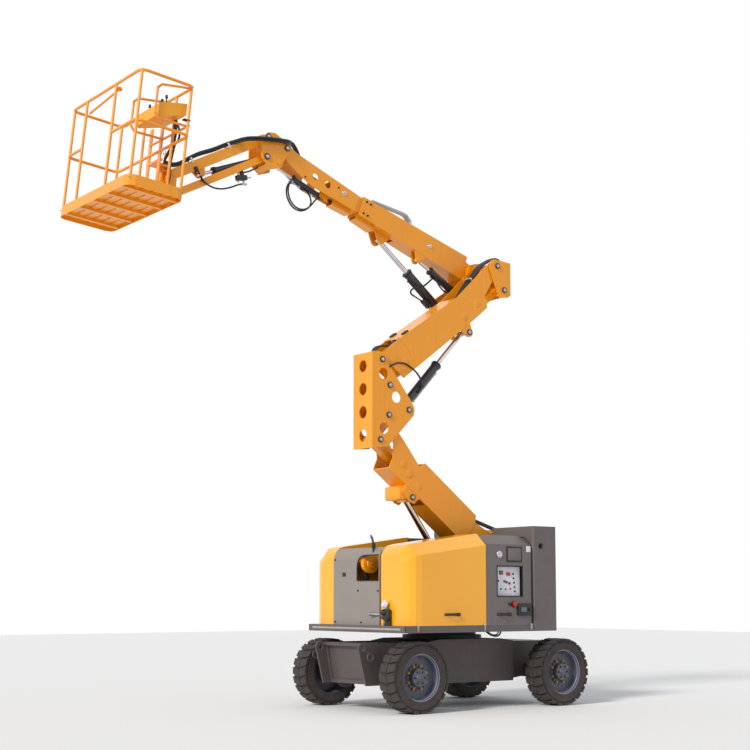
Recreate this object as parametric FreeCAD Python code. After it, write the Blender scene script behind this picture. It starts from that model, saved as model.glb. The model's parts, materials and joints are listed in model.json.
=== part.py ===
import FreeCAD, Part

import math
import os
from FreeCAD import Vector

# Articulating boom lift, millimetres.
# X points forward to the platform, Y to the left, Z up. While the shapes are made the slewing
# axis is X = 0, Y = 0 and the floor is Z = 0; place_on_floor_centre moves them at the end.

# Wheels and axles
FRONT_AXLE_X = 995.0
REAR_AXLE_X = -975.0
TYRE_RADIUS = 360.0
TYRE_WIDTH = 245.0
WHEEL_FACE_Y = 900.0
TREAD_ROOT = 338.0
TREAD_BLOCKS = 22
TREAD_BLOCK_LENGTH = 72.0
TREAD_SLANT = 26.0
TREAD_GROOVE = 5.0
RIM_RADIUS = 240.0
RIM_WALL = 9.0
RIM_WEB_DEPTH = 92.0
RIM_WEB = 14.0
HUB_RADIUS = 88.0
SPINDLE_RADIUS = 45.0
DRIVE_RADIUS = 118.0
WHEEL_BOLTS = 8
WHEEL_BOLT_CIRCLE = 120.0
WHEEL_BOLT_RADIUS = 13.0
KINGPIN_Y = 600.0
KINGPIN_RADIUS = 30.0

# Chassis
CHASSIS_HALF_WIDTH = 490.0
CHASSIS_HALF_LENGTH = 600.0
CHASSIS_BOTTOM = 265.0
CHASSIS_TOP = 720.0
CHASSIS_END_TOP = 682.0
FRONT_BOX_HALF_WIDTH = 390.0
REAR_BOX_HALF_WIDTH = 350.0
CHASSIS_REAR_X = -1255.0
FRAME_WALL = 14.0
TIE_PLATE = 22.0
TIE_HOLE_X = 1345.0
TIE_HOLE_Z = 640.0
TIE_HOLE_RADIUS = 24.0
TIE_EAR_RADIUS = 62.0

# Turret
SLEW_RADIUS = 430.0
SEAT_GAP = 0.3
BASE_PLATE_BOTTOM = 802.0
BASE_PLATE_TOP = 873.0
BASE_PLATE_FRONT = 1175.0
COVER_BOTTOM = BASE_PLATE_TOP + SEAT_GAP
TURRET_HALF_WIDTH = 851.0
TAIL_X = -940.0
COUNTERWEIGHT_FRONT = -576.0
COUNTERWEIGHT_TOP = 1925.0
COUNTERWEIGHT_GAP = 190.0
COUNTERWEIGHT_HOLE = 27.0
COVER_WALL = 8.0
COVER_GAP = 8.0
TUNNEL_NEAR_Y = 362.0
TUNNEL_FAR_Y = -481.0
HOOD_FRONT = 1100.0
HOOD_REAR = 95.0
HOOD_HINGE_Z = 1700.0
HOOD_CREASE = 1705.0
HOOD_CREST = 1830.0
HOOD_NOSE_CREASE = 1488.0
HOOD_NOSE_CREST = 1590.0
COVER_CREASE = 1720.0
COVER_CREST = 1822.0
COVER_SHOULDER = 150.0
OPEN_SIDE_TOP = 1540.0
WINDOW_BOTTOM = 1171.0
WINDOW_TOP = 1489.0
OPENING_BOTTOM = 1333.0
OPENING_TOP = 1600.0
HOOD_CORNER = 125.0
REAR_CORNER = 90.0
COVER_OPEN_DEGREES = 55.0

# Risers: two parallelograms joined by the mid pivot, all in the plane Y = 0
ARM_PLATE_INNER = 132.0
ARM_PLATE_OUTER = 146.0
ARM_COVER_OUTER = 150.0
PIVOT_PLATE_INNER = 156.0
PIVOT_PLATE_OUTER = 170.0
LINK_HALF_WIDTH = 50.0
LINK_HALF_DEPTH = 30.0
PIN_RADIUS = 22.0
PIN_HEAD_RADIUS = 33.0
PIN_HEAD = 14.0
PIN_GAP = 0.5
LOWER_ANGLE = 37.0
UPPER_ANGLE = 37.0
LOWER_LENGTH = 2100.0
UPPER_LENGTH = 2056.0
LOWER_FOOT_X = -824.1
LOWER_FOOT_Z = 1829.2
LOWER_LINK_DX = 112.0
LOWER_LINK_DZ = -270.0
UPPER_LINK_DX = -100.0
UPPER_LINK_DZ = -268.0
MID_PIVOT_DX = 86.0
MID_PIVOT_DZ = 590.0
UPPER_CYLINDER_DX = -271.0
UPPER_CYLINDER_DZ = 73.0
LOWER_CYLINDER_X = -430.0
LOWER_CYLINDER_Z = 950.0
LOWER_LUG_ALONG = 791.0
LOWER_LUG_DROP = 487.0
UPPER_LUG_ALONG = UPPER_LENGTH - 807.0
UPPER_LUG_DROP = 402.0

# Main boom, beside the risers
BOOM_Y = -320.0
BOOM_ANGLE = 18.7
BOOM_PIVOT_DX = 74.0
BOOM_PIVOT_DZ = -9.3
BOOM_HALF_WIDTH = 110.0
BOOM_START = 100.0
BOOM_LENGTH = 1655.0
BOOM_REAR_HALF_HEIGHT = 145.0
BOOM_FRONT_HALF_HEIGHT = 108.0
BOOM_WALL = 8.0
BOOM_EAR_GAP = 6.0
BOOM_FOOT_HALF = 142.0
INNER_HALF_HEIGHT = 88.0
INNER_CLEARANCE = 6.0
INNER_START = 300.0
INNER_END = BOOM_LENGTH + 425.0
HEAD_START = BOOM_LENGTH + 60.0
HEAD_PIN_ALONG = BOOM_LENGTH + 1081.0
HEAD_PIN_UP = 108.0
TRAY_DEPTH = 168.0

# Jib and platform
JIB_ANGLE = -28.2
JIB_LENGTH = 1247.5
JIB_TOP_DX = 236.0
JIB_TOP_DZ = 84.0
JIB_LOW_DX = 251.0
JIB_LOW_DZ = -135.0
SLAVE_PIN_DX = 105.0
SLAVE_PIN_DZ = -170.0
PLATFORM_TILT = 5.9
PLATFORM_WIDTH = 1536.0
PLATFORM_DEPTH = 604.0
PLATFORM_HEIGHT = 1157.0
RAIL_RADIUS = 15.0
POST_RADIUS = 14.0
RAIL_INSET = 17.0
TOE_HEIGHT = 106.0
ROTATOR_BACK = 110.0
ROTATOR_RADIUS = 60.0


def box(x0, x1, y0, y1, z0, z1):
    return Part.makeBox(x1 - x0, y1 - y0, z1 - z0, Vector(x0, y0, z0))


def pin_y(point, radius, y0, y1):
    """A round bar along Y at a point (x, z)."""
    return Part.makeCylinder(radius, y1 - y0, Vector(point[0], y0, point[1]), Vector(0, 1, 0))


def bar(start, end, radius):
    """A round bar between two points."""
    run = end.sub(start)
    return Part.makeCylinder(radius, run.Length, start, run)


def prism_y(outline, y0, y1):
    """An outline of (x, z) points made into a plate from y0 to y1."""
    points = [Vector(x, y0, z) for x, z in outline]
    face = Part.Face(Part.makePolygon(points + points[:1]))
    return face.extrude(Vector(0, y1 - y0, 0))


def prism_x(outline, x0, x1):
    """An outline of (y, z) points made into a bar from x0 to x1."""
    points = [Vector(x0, y, z) for y, z in outline]
    face = Part.Face(Part.makePolygon(points + points[:1]))
    return face.extrude(Vector(x1 - x0, 0, 0))


def joined(shapes):
    shape = shapes[0].multiFuse(shapes[1:]) if len(shapes) > 1 else shapes[0]
    return shape.removeSplitter()


def without(shape, cutters):
    return shape.cut(Part.makeCompound(cutters)) if cutters else shape


def both_sides(shape):
    """A shape and its mirror image in the plane Y = 0."""
    return [shape, shape.mirror(Vector(0, 0, 0), Vector(0, 1, 0))]


def turned(vector, degrees):
    """A vector (x, z) turned upwards from X to Z."""
    c = math.cos(math.radians(degrees))
    s = math.sin(math.radians(degrees))
    return (vector[0] * c - vector[1] * s, vector[0] * s + vector[1] * c)


def offset(point, vector):
    return (point[0] + vector[0], point[1] + vector[1])


class Line:
    """Places along a straight member: s along it, n to its upper side."""

    def __init__(self, foot, degrees, side=1.0):
        self.foot = foot
        self.degrees = degrees
        self.side = side

    def at(self, s, n=0.0):
        return offset(self.foot, turned((s, n * self.side), self.degrees))

    def outline(self, places):
        return [self.at(s, n) for s, n in places]


# Joint points (x, z)
LOWER_FOOT = (LOWER_FOOT_X, LOWER_FOOT_Z)
LOWER_TOP = offset(LOWER_FOOT, turned((LOWER_LENGTH, 0.0), LOWER_ANGLE))
LOWER_LINK_TOP = offset(LOWER_TOP, (LOWER_LINK_DX, LOWER_LINK_DZ))
LOWER_LINK_FOOT = offset(LOWER_FOOT, (LOWER_LINK_DX, LOWER_LINK_DZ))
UPPER_FOOT = offset(LOWER_TOP, (MID_PIVOT_DX, MID_PIVOT_DZ))
UPPER_TOP = offset(UPPER_FOOT, turned((UPPER_LENGTH, 0.0), 180.0 - UPPER_ANGLE))
UPPER_LINK_FOOT = offset(UPPER_FOOT, (UPPER_LINK_DX, UPPER_LINK_DZ))
UPPER_LINK_TOP = offset(UPPER_TOP, (UPPER_LINK_DX, UPPER_LINK_DZ))
LOWER_CYLINDER_BASE = (LOWER_CYLINDER_X, LOWER_CYLINDER_Z)
UPPER_CYLINDER_BASE = offset(LOWER_TOP, (UPPER_CYLINDER_DX, UPPER_CYLINDER_DZ))
BOOM_PIVOT = offset(UPPER_TOP, (BOOM_PIVOT_DX, BOOM_PIVOT_DZ))

# Member lines. The upper side of the lower arm faces rear and up, that of the upper arm front and up.
lower_line = Line(LOWER_TOP, LOWER_ANGLE + 180.0, -1.0)
upper_line = Line(UPPER_FOOT, 180.0 - UPPER_ANGLE, -1.0)
boom_line = Line(BOOM_PIVOT, BOOM_ANGLE, 1.0)

LOWER_LUG = lower_line.at(LOWER_LUG_ALONG, -LOWER_LUG_DROP)
UPPER_LUG = upper_line.at(UPPER_LUG_ALONG, -UPPER_LUG_DROP)
LIFT_LUG_ALONG = BOOM_LENGTH - 423.0
MASTER_LUG_ALONG = BOOM_LENGTH - 920.0
SLAVE_ALONG = HEAD_PIN_ALONG - 634.0
LIFT_LUG = boom_line.at(LIFT_LUG_ALONG, -182.0)
MASTER_LUG = boom_line.at(MASTER_LUG_ALONG, -205.0)
LIFT_BASE = offset(BOOM_PIVOT, (209.0, -576.0))
MASTER_BASE = offset(BOOM_PIVOT, (109.0, -311.0))
HEAD_PIN = boom_line.at(HEAD_PIN_ALONG, HEAD_PIN_UP)
SLAVE_BASE = boom_line.at(SLAVE_ALONG, -116.0)
SLAVE_PIN = offset(HEAD_PIN, (SLAVE_PIN_DX, SLAVE_PIN_DZ))
JIB_TOP = offset(HEAD_PIN, (JIB_TOP_DX, JIB_TOP_DZ))
JIB_LOW = offset(HEAD_PIN, (JIB_LOW_DX, JIB_LOW_DZ))
jib_line = Line(JIB_TOP, JIB_ANGLE, 1.0)
jib_low_line = Line(JIB_LOW, JIB_ANGLE, 1.0)
JIB_LUG = jib_line.at(891.0, -100.0)
JIB_HEAD_TOP = jib_line.at(JIB_LENGTH)
JIB_HEAD_LOW = jib_low_line.at(JIB_LENGTH)
PLATFORM_REAR_DX = 241.0
PLATFORM_REAR_DZ = -463.0
PLATFORM_REAR = offset(JIB_HEAD_TOP, (PLATFORM_REAR_DX, PLATFORM_REAR_DZ))
platform_line = Line(PLATFORM_REAR, PLATFORM_TILT, 1.0)

# The lift and the levelling cylinder stand side by side under the boom.
LIFT_Y = BOOM_Y - 44.0
MASTER_Y = BOOM_Y + 66.0

# Cylinders: base, rod eye, barrel and rod length as shares of the distance between them, barrel radius,
# rod radius, base half width, half width and radius of the rod's eye, Y
CYLINDERS = {
    "lower_riser": (LOWER_CYLINDER_BASE, LOWER_LUG, 0.5915, 0.6261, 55.0, 35.0, 105.0, 105.0, 47.0, 0.0),
    "upper_riser": (UPPER_CYLINDER_BASE, UPPER_LUG, 0.5947, 0.6500, 49.0, 27.0, 60.0, 105.0, 30.0, 0.0),
    "boom_lift": (LIFT_BASE, LIFT_LUG, 0.6035, 0.7659, 50.0, 27.0, 46.0, 44.0, 28.0, LIFT_Y),
    "levelling_master": (MASTER_BASE, MASTER_LUG, 0.7210, 0.7143, 38.0, 18.0, 40.0, 26.0, 26.0, MASTER_Y),
    "levelling_slave": (SLAVE_BASE, SLAVE_PIN, 0.5960, 0.6180, 32.0, 15.0, 34.0, 105.0, 24.0, BOOM_Y),
    "jib": (JIB_LOW, JIB_LUG, 0.7958, 0.8215, 34.0, 18.0, 44.0, 29.0, 28.0, BOOM_Y),
}


def angle_of(start, end):
    return math.degrees(math.atan2(end[1] - start[1], end[0] - start[0]))


def cylinder_barrel(name):
    base, rod_eye, barrel, rod, radius, rod_radius, half, eye_half, eye_radius, y = CYLINDERS[name]
    barrel = barrel * math.dist(base, rod_eye)
    line = Line(base, angle_of(base, rod_eye))
    start = line.at(radius * 0.8)
    end = line.at(barrel)
    body = bar(Vector(start[0], y, start[1]), Vector(end[0], y, end[1]), radius)
    neck = line.at(barrel - 40.0)
    collar = bar(Vector(neck[0], y, neck[1]), Vector(end[0], y, end[1]), radius + 5.0)
    eye = pin_y(base, radius * 0.85, y - half, y + half)
    inner_start = line.at(radius * 1.4)
    inner_end = line.at(barrel + 1.0)
    bore = bar(Vector(inner_start[0], y, inner_start[1]), Vector(inner_end[0], y, inner_end[1]),
               rod_radius + PIN_GAP)
    pin_hole = pin_y(base, PIN_RADIUS + PIN_GAP, y - half - 1.0, y + half + 1.0)
    return joined([body, collar, eye]).cut(bore).cut(pin_hole)


def cylinder_rod(name):
    base, rod_eye, barrel, rod, radius, rod_radius, half, eye_half, eye_radius, y = CYLINDERS[name]
    line = Line(rod_eye, angle_of(rod_eye, base))
    end = line.at(rod * math.dist(base, rod_eye))
    shaft = bar(Vector(rod_eye[0], y, rod_eye[1]), Vector(end[0], y, end[1]), rod_radius)
    eye = pin_y(rod_eye, eye_radius, y - eye_half, y + eye_half)
    return joined([shaft, eye])


def pins_through(points, y0, y1, head=PIN_HEAD):
    """Pivot pins with a head at both ends, each a (x, z) point."""
    shapes = []
    for point in points:
        shapes.append(pin_y(point, PIN_RADIUS, y0, y1))
        shapes.append(pin_y(point, PIN_HEAD_RADIUS, y1, y1 + head))
        shapes.append(pin_y(point, PIN_HEAD_RADIUS, y0 - head, y0))
    return shapes


# Wheels


def ring_of_facets(axle_x, facets, inner, outer, y0, y1):
    """A ring about a wheel's axle with flat facets outside and a round bore; radii are to the flats."""
    corner = outer / math.cos(math.pi / facets)
    outline = []
    for index in range(facets):
        outline.append(offset((axle_x, TYRE_RADIUS), turned((corner, 0.0), 360.0 * (index + 0.5) / facets)))
    return prism_y(outline, y0, y1).cut(pin_y((axle_x, TYRE_RADIUS), inner, y0 - 1.0, y1 + 1.0))


def tread_block(along, across, height):
    """One block of the tread at the top of the wheel: (along, across) corners, slanted like an arrow."""
    points = [Vector(x, y, TREAD_ROOT - 8.0) for x, y in zip(along, across)]
    face = Part.Face(Part.makePolygon(points + points[:1]))
    return face.extrude(Vector(0, 0, height - TREAD_ROOT + 8.0))


def tyre(side, axle_x):
    """Tyre with two rows of arrow-like tread blocks; side is +1 for the left."""
    half = TYRE_WIDTH / 2.0
    centre = WHEEL_FACE_Y - half
    carcass = [
        ring_of_facets(axle_x, TREAD_BLOCKS, RIM_RADIUS, RIM_RADIUS + 30.0, centre - half + 14.0,
                       centre + half - 14.0),
        ring_of_facets(axle_x, TREAD_BLOCKS, RIM_RADIUS, TREAD_ROOT - 22.0, centre - half, centre + half),
        ring_of_facets(axle_x, TREAD_BLOCKS, RIM_RADIUS, TREAD_ROOT, centre - half + 12.0,
                       centre + half - 12.0),
    ]
    tip = math.sqrt(TYRE_RADIUS ** 2 - (TREAD_BLOCK_LENGTH / 2.0 + TREAD_SLANT / 2.0) ** 2) - 0.5
    long_half = TREAD_BLOCK_LENGTH / 2.0
    slant = TREAD_SLANT / 2.0
    blocks = []
    for row_in, row_out in ((-TREAD_GROOVE, 4.0 - half), (TREAD_GROOVE, half - 4.0)):
        along = (slant - long_half, slant + long_half, long_half - slant, -long_half - slant)
        across = (row_in, row_in, row_out, row_out)
        block = tread_block(along, across, tip)
        block.translate(Vector(0, centre, 0))
        for index in range(TREAD_BLOCKS):
            turned_block = block.copy()
            turned_block.rotate(Vector(0, 0, 0), Vector(0, 1, 0), 90.0 + 360.0 * index / TREAD_BLOCKS)
            turned_block.translate(Vector(axle_x, 0, TYRE_RADIUS))
            blocks.append(turned_block)
    shape = joined(carcass + blocks)
    return shape if side > 0 else shape.mirror(Vector(0, 0, 0), Vector(0, 1, 0))


def rim(side, axle_x):
    """Deep dished rim with its web, hub and bolts."""
    half = TYRE_WIDTH / 2.0
    centre = WHEEL_FACE_Y - half
    out = centre + half - 14.0
    inn = centre - half + 14.0
    web = WHEEL_FACE_Y - RIM_WEB_DEPTH
    profile = [
        (out, RIM_RADIUS), (out, RIM_RADIUS - RIM_WALL), (web, RIM_RADIUS - 2.6 * RIM_WALL),
        (web, SPINDLE_RADIUS + 1.0), (web - RIM_WEB, SPINDLE_RADIUS + 1.0),
        (web - RIM_WEB, RIM_RADIUS - 2.6 * RIM_WALL), (inn, RIM_RADIUS - RIM_WALL), (inn, RIM_RADIUS),
    ]
    points = [Vector(axle_x, y, TYRE_RADIUS + r) for y, r in profile]
    face = Part.Face(Part.makePolygon(points + points[:1]))
    ring = face.revolve(Vector(axle_x, 0, TYRE_RADIUS), Vector(0, 1, 0), 360.0)
    shapes = [ring]
    centre_point = (axle_x, TYRE_RADIUS)
    hub = pin_y(centre_point, HUB_RADIUS, web, web + 62.0)
    shapes.append(hub.cut(pin_y(centre_point, SPINDLE_RADIUS + 1.0, web - 1.0, web + 30.0)))
    for index in range(WHEEL_BOLTS):
        angle = 360.0 * index / WHEEL_BOLTS
        spot = offset(centre_point, turned((WHEEL_BOLT_CIRCLE, 0.0), angle))
        shapes.append(pin_y(spot, WHEEL_BOLT_RADIUS, web, web + 20.0))
    wheel = joined(shapes)
    return wheel if side > 0 else wheel.mirror(Vector(0, 0, 0), Vector(0, 1, 0))


def chassis():
    mid = prism_y([
        (-CHASSIS_HALF_LENGTH, CHASSIS_BOTTOM), (CHASSIS_HALF_LENGTH, CHASSIS_BOTTOM),
        (CHASSIS_HALF_LENGTH, CHASSIS_END_TOP + 12.0), (SLEW_RADIUS, CHASSIS_TOP),
        (-SLEW_RADIUS, CHASSIS_TOP), (-CHASSIS_HALF_LENGTH, CHASSIS_END_TOP + 12.0),
    ], -CHASSIS_HALF_WIDTH, CHASSIS_HALF_WIDTH)
    rear = prism_y([
        (CHASSIS_REAR_X, CHASSIS_BOTTOM + 150.0), (REAR_AXLE_X - 90.0, CHASSIS_BOTTOM + 60.0),
        (-CHASSIS_HALF_LENGTH, CHASSIS_BOTTOM), (-CHASSIS_HALF_LENGTH, CHASSIS_END_TOP),
        (CHASSIS_REAR_X, CHASSIS_END_TOP),
    ], -REAR_BOX_HALF_WIDTH, REAR_BOX_HALF_WIDTH)
    rear = rear.cut(box(REAR_AXLE_X - 80.0, REAR_AXLE_X + 80.0, -REAR_BOX_HALF_WIDTH - 1.0,
                        REAR_BOX_HALF_WIDTH + 1.0, 200.0, REAR_BEAM_TOP))
    front = prism_y([
        (CHASSIS_HALF_LENGTH, CHASSIS_BOTTOM + 5.0), (1215.0, CHASSIS_BOTTOM + 5.0),
        (1290.0, CHASSIS_END_TOP), (CHASSIS_HALF_LENGTH, CHASSIS_END_TOP),
    ], -FRONT_BOX_HALF_WIDTH + TIE_PLATE, FRONT_BOX_HALF_WIDTH - TIE_PLATE)
    panel = prism_y([(1208.0, 310.0), (1230.0, 310.0), (1290.0, 640.0), (1268.0, 640.0)],
                    -FRONT_BOX_HALF_WIDTH + TIE_PLATE + 34.0, FRONT_BOX_HALF_WIDTH - TIE_PLATE - 34.0)
    lip = prism_y([(1280.0, 656.0), (1314.0, 660.0), (1314.0, 692.0), (1280.0, 692.0)],
                  -FRONT_BOX_HALF_WIDTH + TIE_PLATE, FRONT_BOX_HALF_WIDTH - TIE_PLATE)
    front = joined([front.cut(panel), lip])
    ear = joined([
        prism_y([
            (CHASSIS_HALF_LENGTH, CHASSIS_BOTTOM), (1310.0, CHASSIS_BOTTOM),
            (TIE_HOLE_X + TIE_EAR_RADIUS, TIE_HOLE_Z), (TIE_HOLE_X, TIE_HOLE_Z),
            (TIE_HOLE_X - 20.0, CHASSIS_END_TOP + 12.0), (CHASSIS_HALF_LENGTH, CHASSIS_END_TOP + 12.0),
        ], FRONT_BOX_HALF_WIDTH - TIE_PLATE, FRONT_BOX_HALF_WIDTH),
        pin_y((TIE_HOLE_X, TIE_HOLE_Z), TIE_EAR_RADIUS, FRONT_BOX_HALF_WIDTH - TIE_PLATE,
              FRONT_BOX_HALF_WIDTH),
    ])
    ear = ear.cut(pin_y((TIE_HOLE_X, TIE_HOLE_Z), TIE_HOLE_RADIUS, 0.0, CHASSIS_HALF_WIDTH))
    w = FRAME_WALL
    voids = [
        prism_y([
            (w - CHASSIS_HALF_LENGTH, CHASSIS_BOTTOM + w), (CHASSIS_HALF_LENGTH - w, CHASSIS_BOTTOM + w),
            (CHASSIS_HALF_LENGTH - w, CHASSIS_END_TOP - w), (w - CHASSIS_HALF_LENGTH, CHASSIS_END_TOP - w),
        ], w - CHASSIS_HALF_WIDTH, CHASSIS_HALF_WIDTH - w),
        box(CHASSIS_HALF_LENGTH + w, 1200.0, -FRONT_BOX_HALF_WIDTH + TIE_PLATE + w,
            FRONT_BOX_HALF_WIDTH - TIE_PLATE - w, CHASSIS_BOTTOM + 5.0 + w, CHASSIS_END_TOP - w),
        box(REAR_AXLE_X + 80.0 + w, -CHASSIS_HALF_LENGTH - w, w - REAR_BOX_HALF_WIDTH, REAR_BOX_HALF_WIDTH - w,
            CHASSIS_BOTTOM + 80.0, CHASSIS_END_TOP - w),
        box(CHASSIS_REAR_X + w, REAR_AXLE_X + 80.0, w - REAR_BOX_HALF_WIDTH, REAR_BOX_HALF_WIDTH - w,
            REAR_BEAM_TOP + w, CHASSIS_END_TOP - w),
    ]
    return without(joined([mid, rear, front] + both_sides(ear)), voids)


REAR_BEAM_TOP = 440.0
YOKE_REACH = 45.0
KNUCKLE_HALF = 55.0
STEER_ARM_HALF = 12.0


def front_axle():
    """Drive housings from the chassis box out to both front wheels, each with its spindle."""
    web_inner = WHEEL_FACE_Y - RIM_WEB_DEPTH - RIM_WEB
    centre = (FRONT_AXLE_X, TYRE_RADIUS)
    housing = pin_y(centre, DRIVE_RADIUS, FRONT_BOX_HALF_WIDTH, web_inner - 6.0)
    flange = pin_y(centre, DRIVE_RADIUS + 35.0, FRONT_BOX_HALF_WIDTH, FRONT_BOX_HALF_WIDTH + 24.0)
    spindle = pin_y(centre, SPINDLE_RADIUS, web_inner - 6.0, web_inner + RIM_WEB + 26.0)
    return Part.makeCompound(both_sides(joined([housing, flange, spindle])))


def rear_axle():
    """Cross beam under the chassis with a fork for each kingpin."""
    beam = box(REAR_AXLE_X - 62.0, REAR_AXLE_X + 62.0, -KINGPIN_Y + 75.0, KINGPIN_Y - 75.0,
               REAR_BEAM_TOP - 150.0, REAR_BEAM_TOP)
    shapes = [beam]
    for side in (1.0, -1.0):
        y = side * KINGPIN_Y
        inner = side * (KINGPIN_Y - 150.0)
        for low in (TYRE_RADIUS - KNUCKLE_HALF - 27.0, TYRE_RADIUS + KNUCKLE_HALF + 2.0):
            shapes.append(box(REAR_AXLE_X - 45.0, REAR_AXLE_X + 45.0, min(y, inner), max(y, inner),
                              low, low + 25.0))
            shapes.append(Part.makeCylinder(45.0, 25.0, Vector(REAR_AXLE_X, y, low)))
        web_y = side * (KINGPIN_Y - 75.0)
        web_x = side * (KINGPIN_Y - 150.0)
        shapes.append(box(REAR_AXLE_X - 45.0, REAR_AXLE_X + 45.0, min(web_y, web_x), max(web_y, web_x),
                          TYRE_RADIUS - KNUCKLE_HALF - 27.0, TYRE_RADIUS + KNUCKLE_HALF + 27.0))
        shapes.append(Part.makeCylinder(KINGPIN_RADIUS, 2.0 * KNUCKLE_HALF + 50.0,
                                        Vector(REAR_AXLE_X, y, TYRE_RADIUS - KNUCKLE_HALF - 25.0)))
    return joined(shapes)


def knuckle(side):
    """Steering knuckle on its kingpin, with the wheel spindle and the steering arm."""
    web_inner = WHEEL_FACE_Y - RIM_WEB_DEPTH - RIM_WEB
    centre = (REAR_AXLE_X, TYRE_RADIUS)
    body = Part.makeCylinder(50.0, 2.0 * KNUCKLE_HALF, Vector(REAR_AXLE_X, KINGPIN_Y, TYRE_RADIUS - KNUCKLE_HALF))
    drum = pin_y(centre, 92.0, KINGPIN_Y + 62.0, web_inner - 6.0)
    neck = pin_y(centre, 46.0, KINGPIN_Y, KINGPIN_Y + 64.0)
    spindle = pin_y(centre, SPINDLE_RADIUS, KINGPIN_Y + 62.0, web_inner + RIM_WEB + 26.0)
    arm = box(REAR_AXLE_X - 175.0, REAR_AXLE_X - 20.0, KINGPIN_Y - 18.0, KINGPIN_Y + 18.0,
              TYRE_RADIUS - STEER_ARM_HALF, TYRE_RADIUS + STEER_ARM_HALF)
    shape = joined([body, drum, neck, spindle, arm])
    shape = shape.cut(Part.makeCylinder(KINGPIN_RADIUS + PIN_GAP, 2.0 * KNUCKLE_HALF + 2.0,
                                        Vector(REAR_AXLE_X, KINGPIN_Y, TYRE_RADIUS - KNUCKLE_HALF - 1.0)))
    return shape if side > 0 else shape.mirror(Vector(0, 0, 0), Vector(0, 1, 0))


def tie_rod():
    """Tie rod below both steering arms."""
    x = REAR_AXLE_X - 155.0
    shapes = [Part.makeCylinder(14.0, 2.0 * KINGPIN_Y - 20.0, Vector(x, -KINGPIN_Y + 10.0, TYRE_RADIUS - 34.0),
                                Vector(0, 1, 0))]
    for y in (-KINGPIN_Y, KINGPIN_Y):
        shapes.append(box(x - 28.0, x + 45.0, y - 24.0, y + 24.0, TYRE_RADIUS - 34.0,
                          TYRE_RADIUS - STEER_ARM_HALF - SEAT_GAP))
    return joined(shapes)


def slew_ring():
    low = Part.makeCylinder(SLEW_RADIUS, 38.0, Vector(0, 0, CHASSIS_TOP))
    high = Part.makeCylinder(SLEW_RADIUS - 60.0, BASE_PLATE_BOTTOM - CHASSIS_TOP - 38.0 - SEAT_GAP,
                             Vector(0, 0, CHASSIS_TOP + 38.0))
    return joined([low, high])


# Turret


def base_plate():
    plate = box(TAIL_X, BASE_PLATE_FRONT, -TURRET_HALF_WIDTH, TURRET_HALF_WIDTH,
                BASE_PLATE_BOTTOM, BASE_PLATE_TOP)
    relief = box(TAIL_X - 1.0, COUNTERWEIGHT_FRONT, -TURRET_HALF_WIDTH - 1.0, TURRET_HALF_WIDTH + 1.0,
                 BASE_PLATE_BOTTOM - 1.0, BASE_PLATE_TOP + 1.0)
    middle = box(TAIL_X + 35.0, COUNTERWEIGHT_FRONT, -COUNTERWEIGHT_GAP, COUNTERWEIGHT_GAP,
                 BASE_PLATE_BOTTOM, BASE_PLATE_TOP)
    w = FRAME_WALL
    under = box(SLEW_RADIUS + w, BASE_PLATE_FRONT - w, w - TURRET_HALF_WIDTH, TURRET_HALF_WIDTH - w,
                BASE_PLATE_BOTTOM - 1.0, BASE_PLATE_TOP - w)
    sides = [box(COUNTERWEIGHT_FRONT + w, SLEW_RADIUS, *sorted((side * (SLEW_RADIUS + w), side * (TURRET_HALF_WIDTH - w))),
                 BASE_PLATE_BOTTOM - 1.0, BASE_PLATE_TOP - w) for side in (-1.0, 1.0)]
    return without(joined([plate.cut(relief), middle]), [under] + sides)


def counterweight():
    edge = 16.0
    outline = [
        (TAIL_X, COUNTERWEIGHT_GAP), (COUNTERWEIGHT_FRONT, COUNTERWEIGHT_GAP),
        (COUNTERWEIGHT_FRONT, TURRET_HALF_WIDTH - edge), (COUNTERWEIGHT_FRONT - edge, TURRET_HALF_WIDTH),
        (TAIL_X + 2.0 * edge, TURRET_HALF_WIDTH), (TAIL_X, TURRET_HALF_WIDTH - 2.0 * edge),
    ]
    points = [Vector(x, y, BASE_PLATE_BOTTOM) for x, y in outline]
    column = Part.Face(Part.makePolygon(points + points[:1])).extrude(Vector(0, 0, COUNTERWEIGHT_TOP - BASE_PLATE_BOTTOM))
    column = column.cut(Part.makeCylinder(COUNTERWEIGHT_HOLE, 260.0, Vector(-690.0, TURRET_HALF_WIDTH - 120.0, 1712.0),
                                          Vector(0, 1, 0)))
    blocks = both_sides(column)
    bridge = box(TAIL_X, TAIL_X + 32.0, -COUNTERWEIGHT_GAP, COUNTERWEIGHT_GAP, BASE_PLATE_BOTTOM, 1690.0)
    return joined(blocks + [bridge])


def riser_tower():
    """Two upright plates on the turret that carry the lower arm, its link and its cylinder."""
    foot = LOWER_FOOT
    back = foot[0] - 81.0
    outline = [
        (back, BASE_PLATE_TOP), (back, foot[1] + 31.0), offset(foot, (-41.0, 86.0)), offset(foot, (49.0, 86.0)),
        offset(foot, (184.0, -209.0)), offset(foot, (234.0, -529.0)), offset(LOWER_CYLINDER_BASE, (60.0, 80.0)),
        (LOWER_CYLINDER_BASE[0] + 100.0, BASE_PLATE_TOP),
    ]
    plate = prism_y(outline, PIVOT_PLATE_INNER, PIVOT_PLATE_OUTER)
    shapes = both_sides(plate)
    shapes.append(box(back, back + 15.0, -PIVOT_PLATE_INNER, PIVOT_PLATE_INNER, BASE_PLATE_TOP, foot[1] - 329.0))
    shapes += pins_through([LOWER_FOOT, LOWER_LINK_FOOT, LOWER_CYLINDER_BASE], -PIVOT_PLATE_OUTER,
                           PIVOT_PLATE_OUTER)
    return joined(shapes)


def engine_block():
    return box(HOOD_REAR + 135.0, HOOD_FRONT - 220.0, TUNNEL_NEAR_Y + 58.0, TURRET_HALF_WIDTH - 51.0, BASE_PLATE_TOP,
               HOOD_NOSE_CREASE - 68.0)


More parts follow.
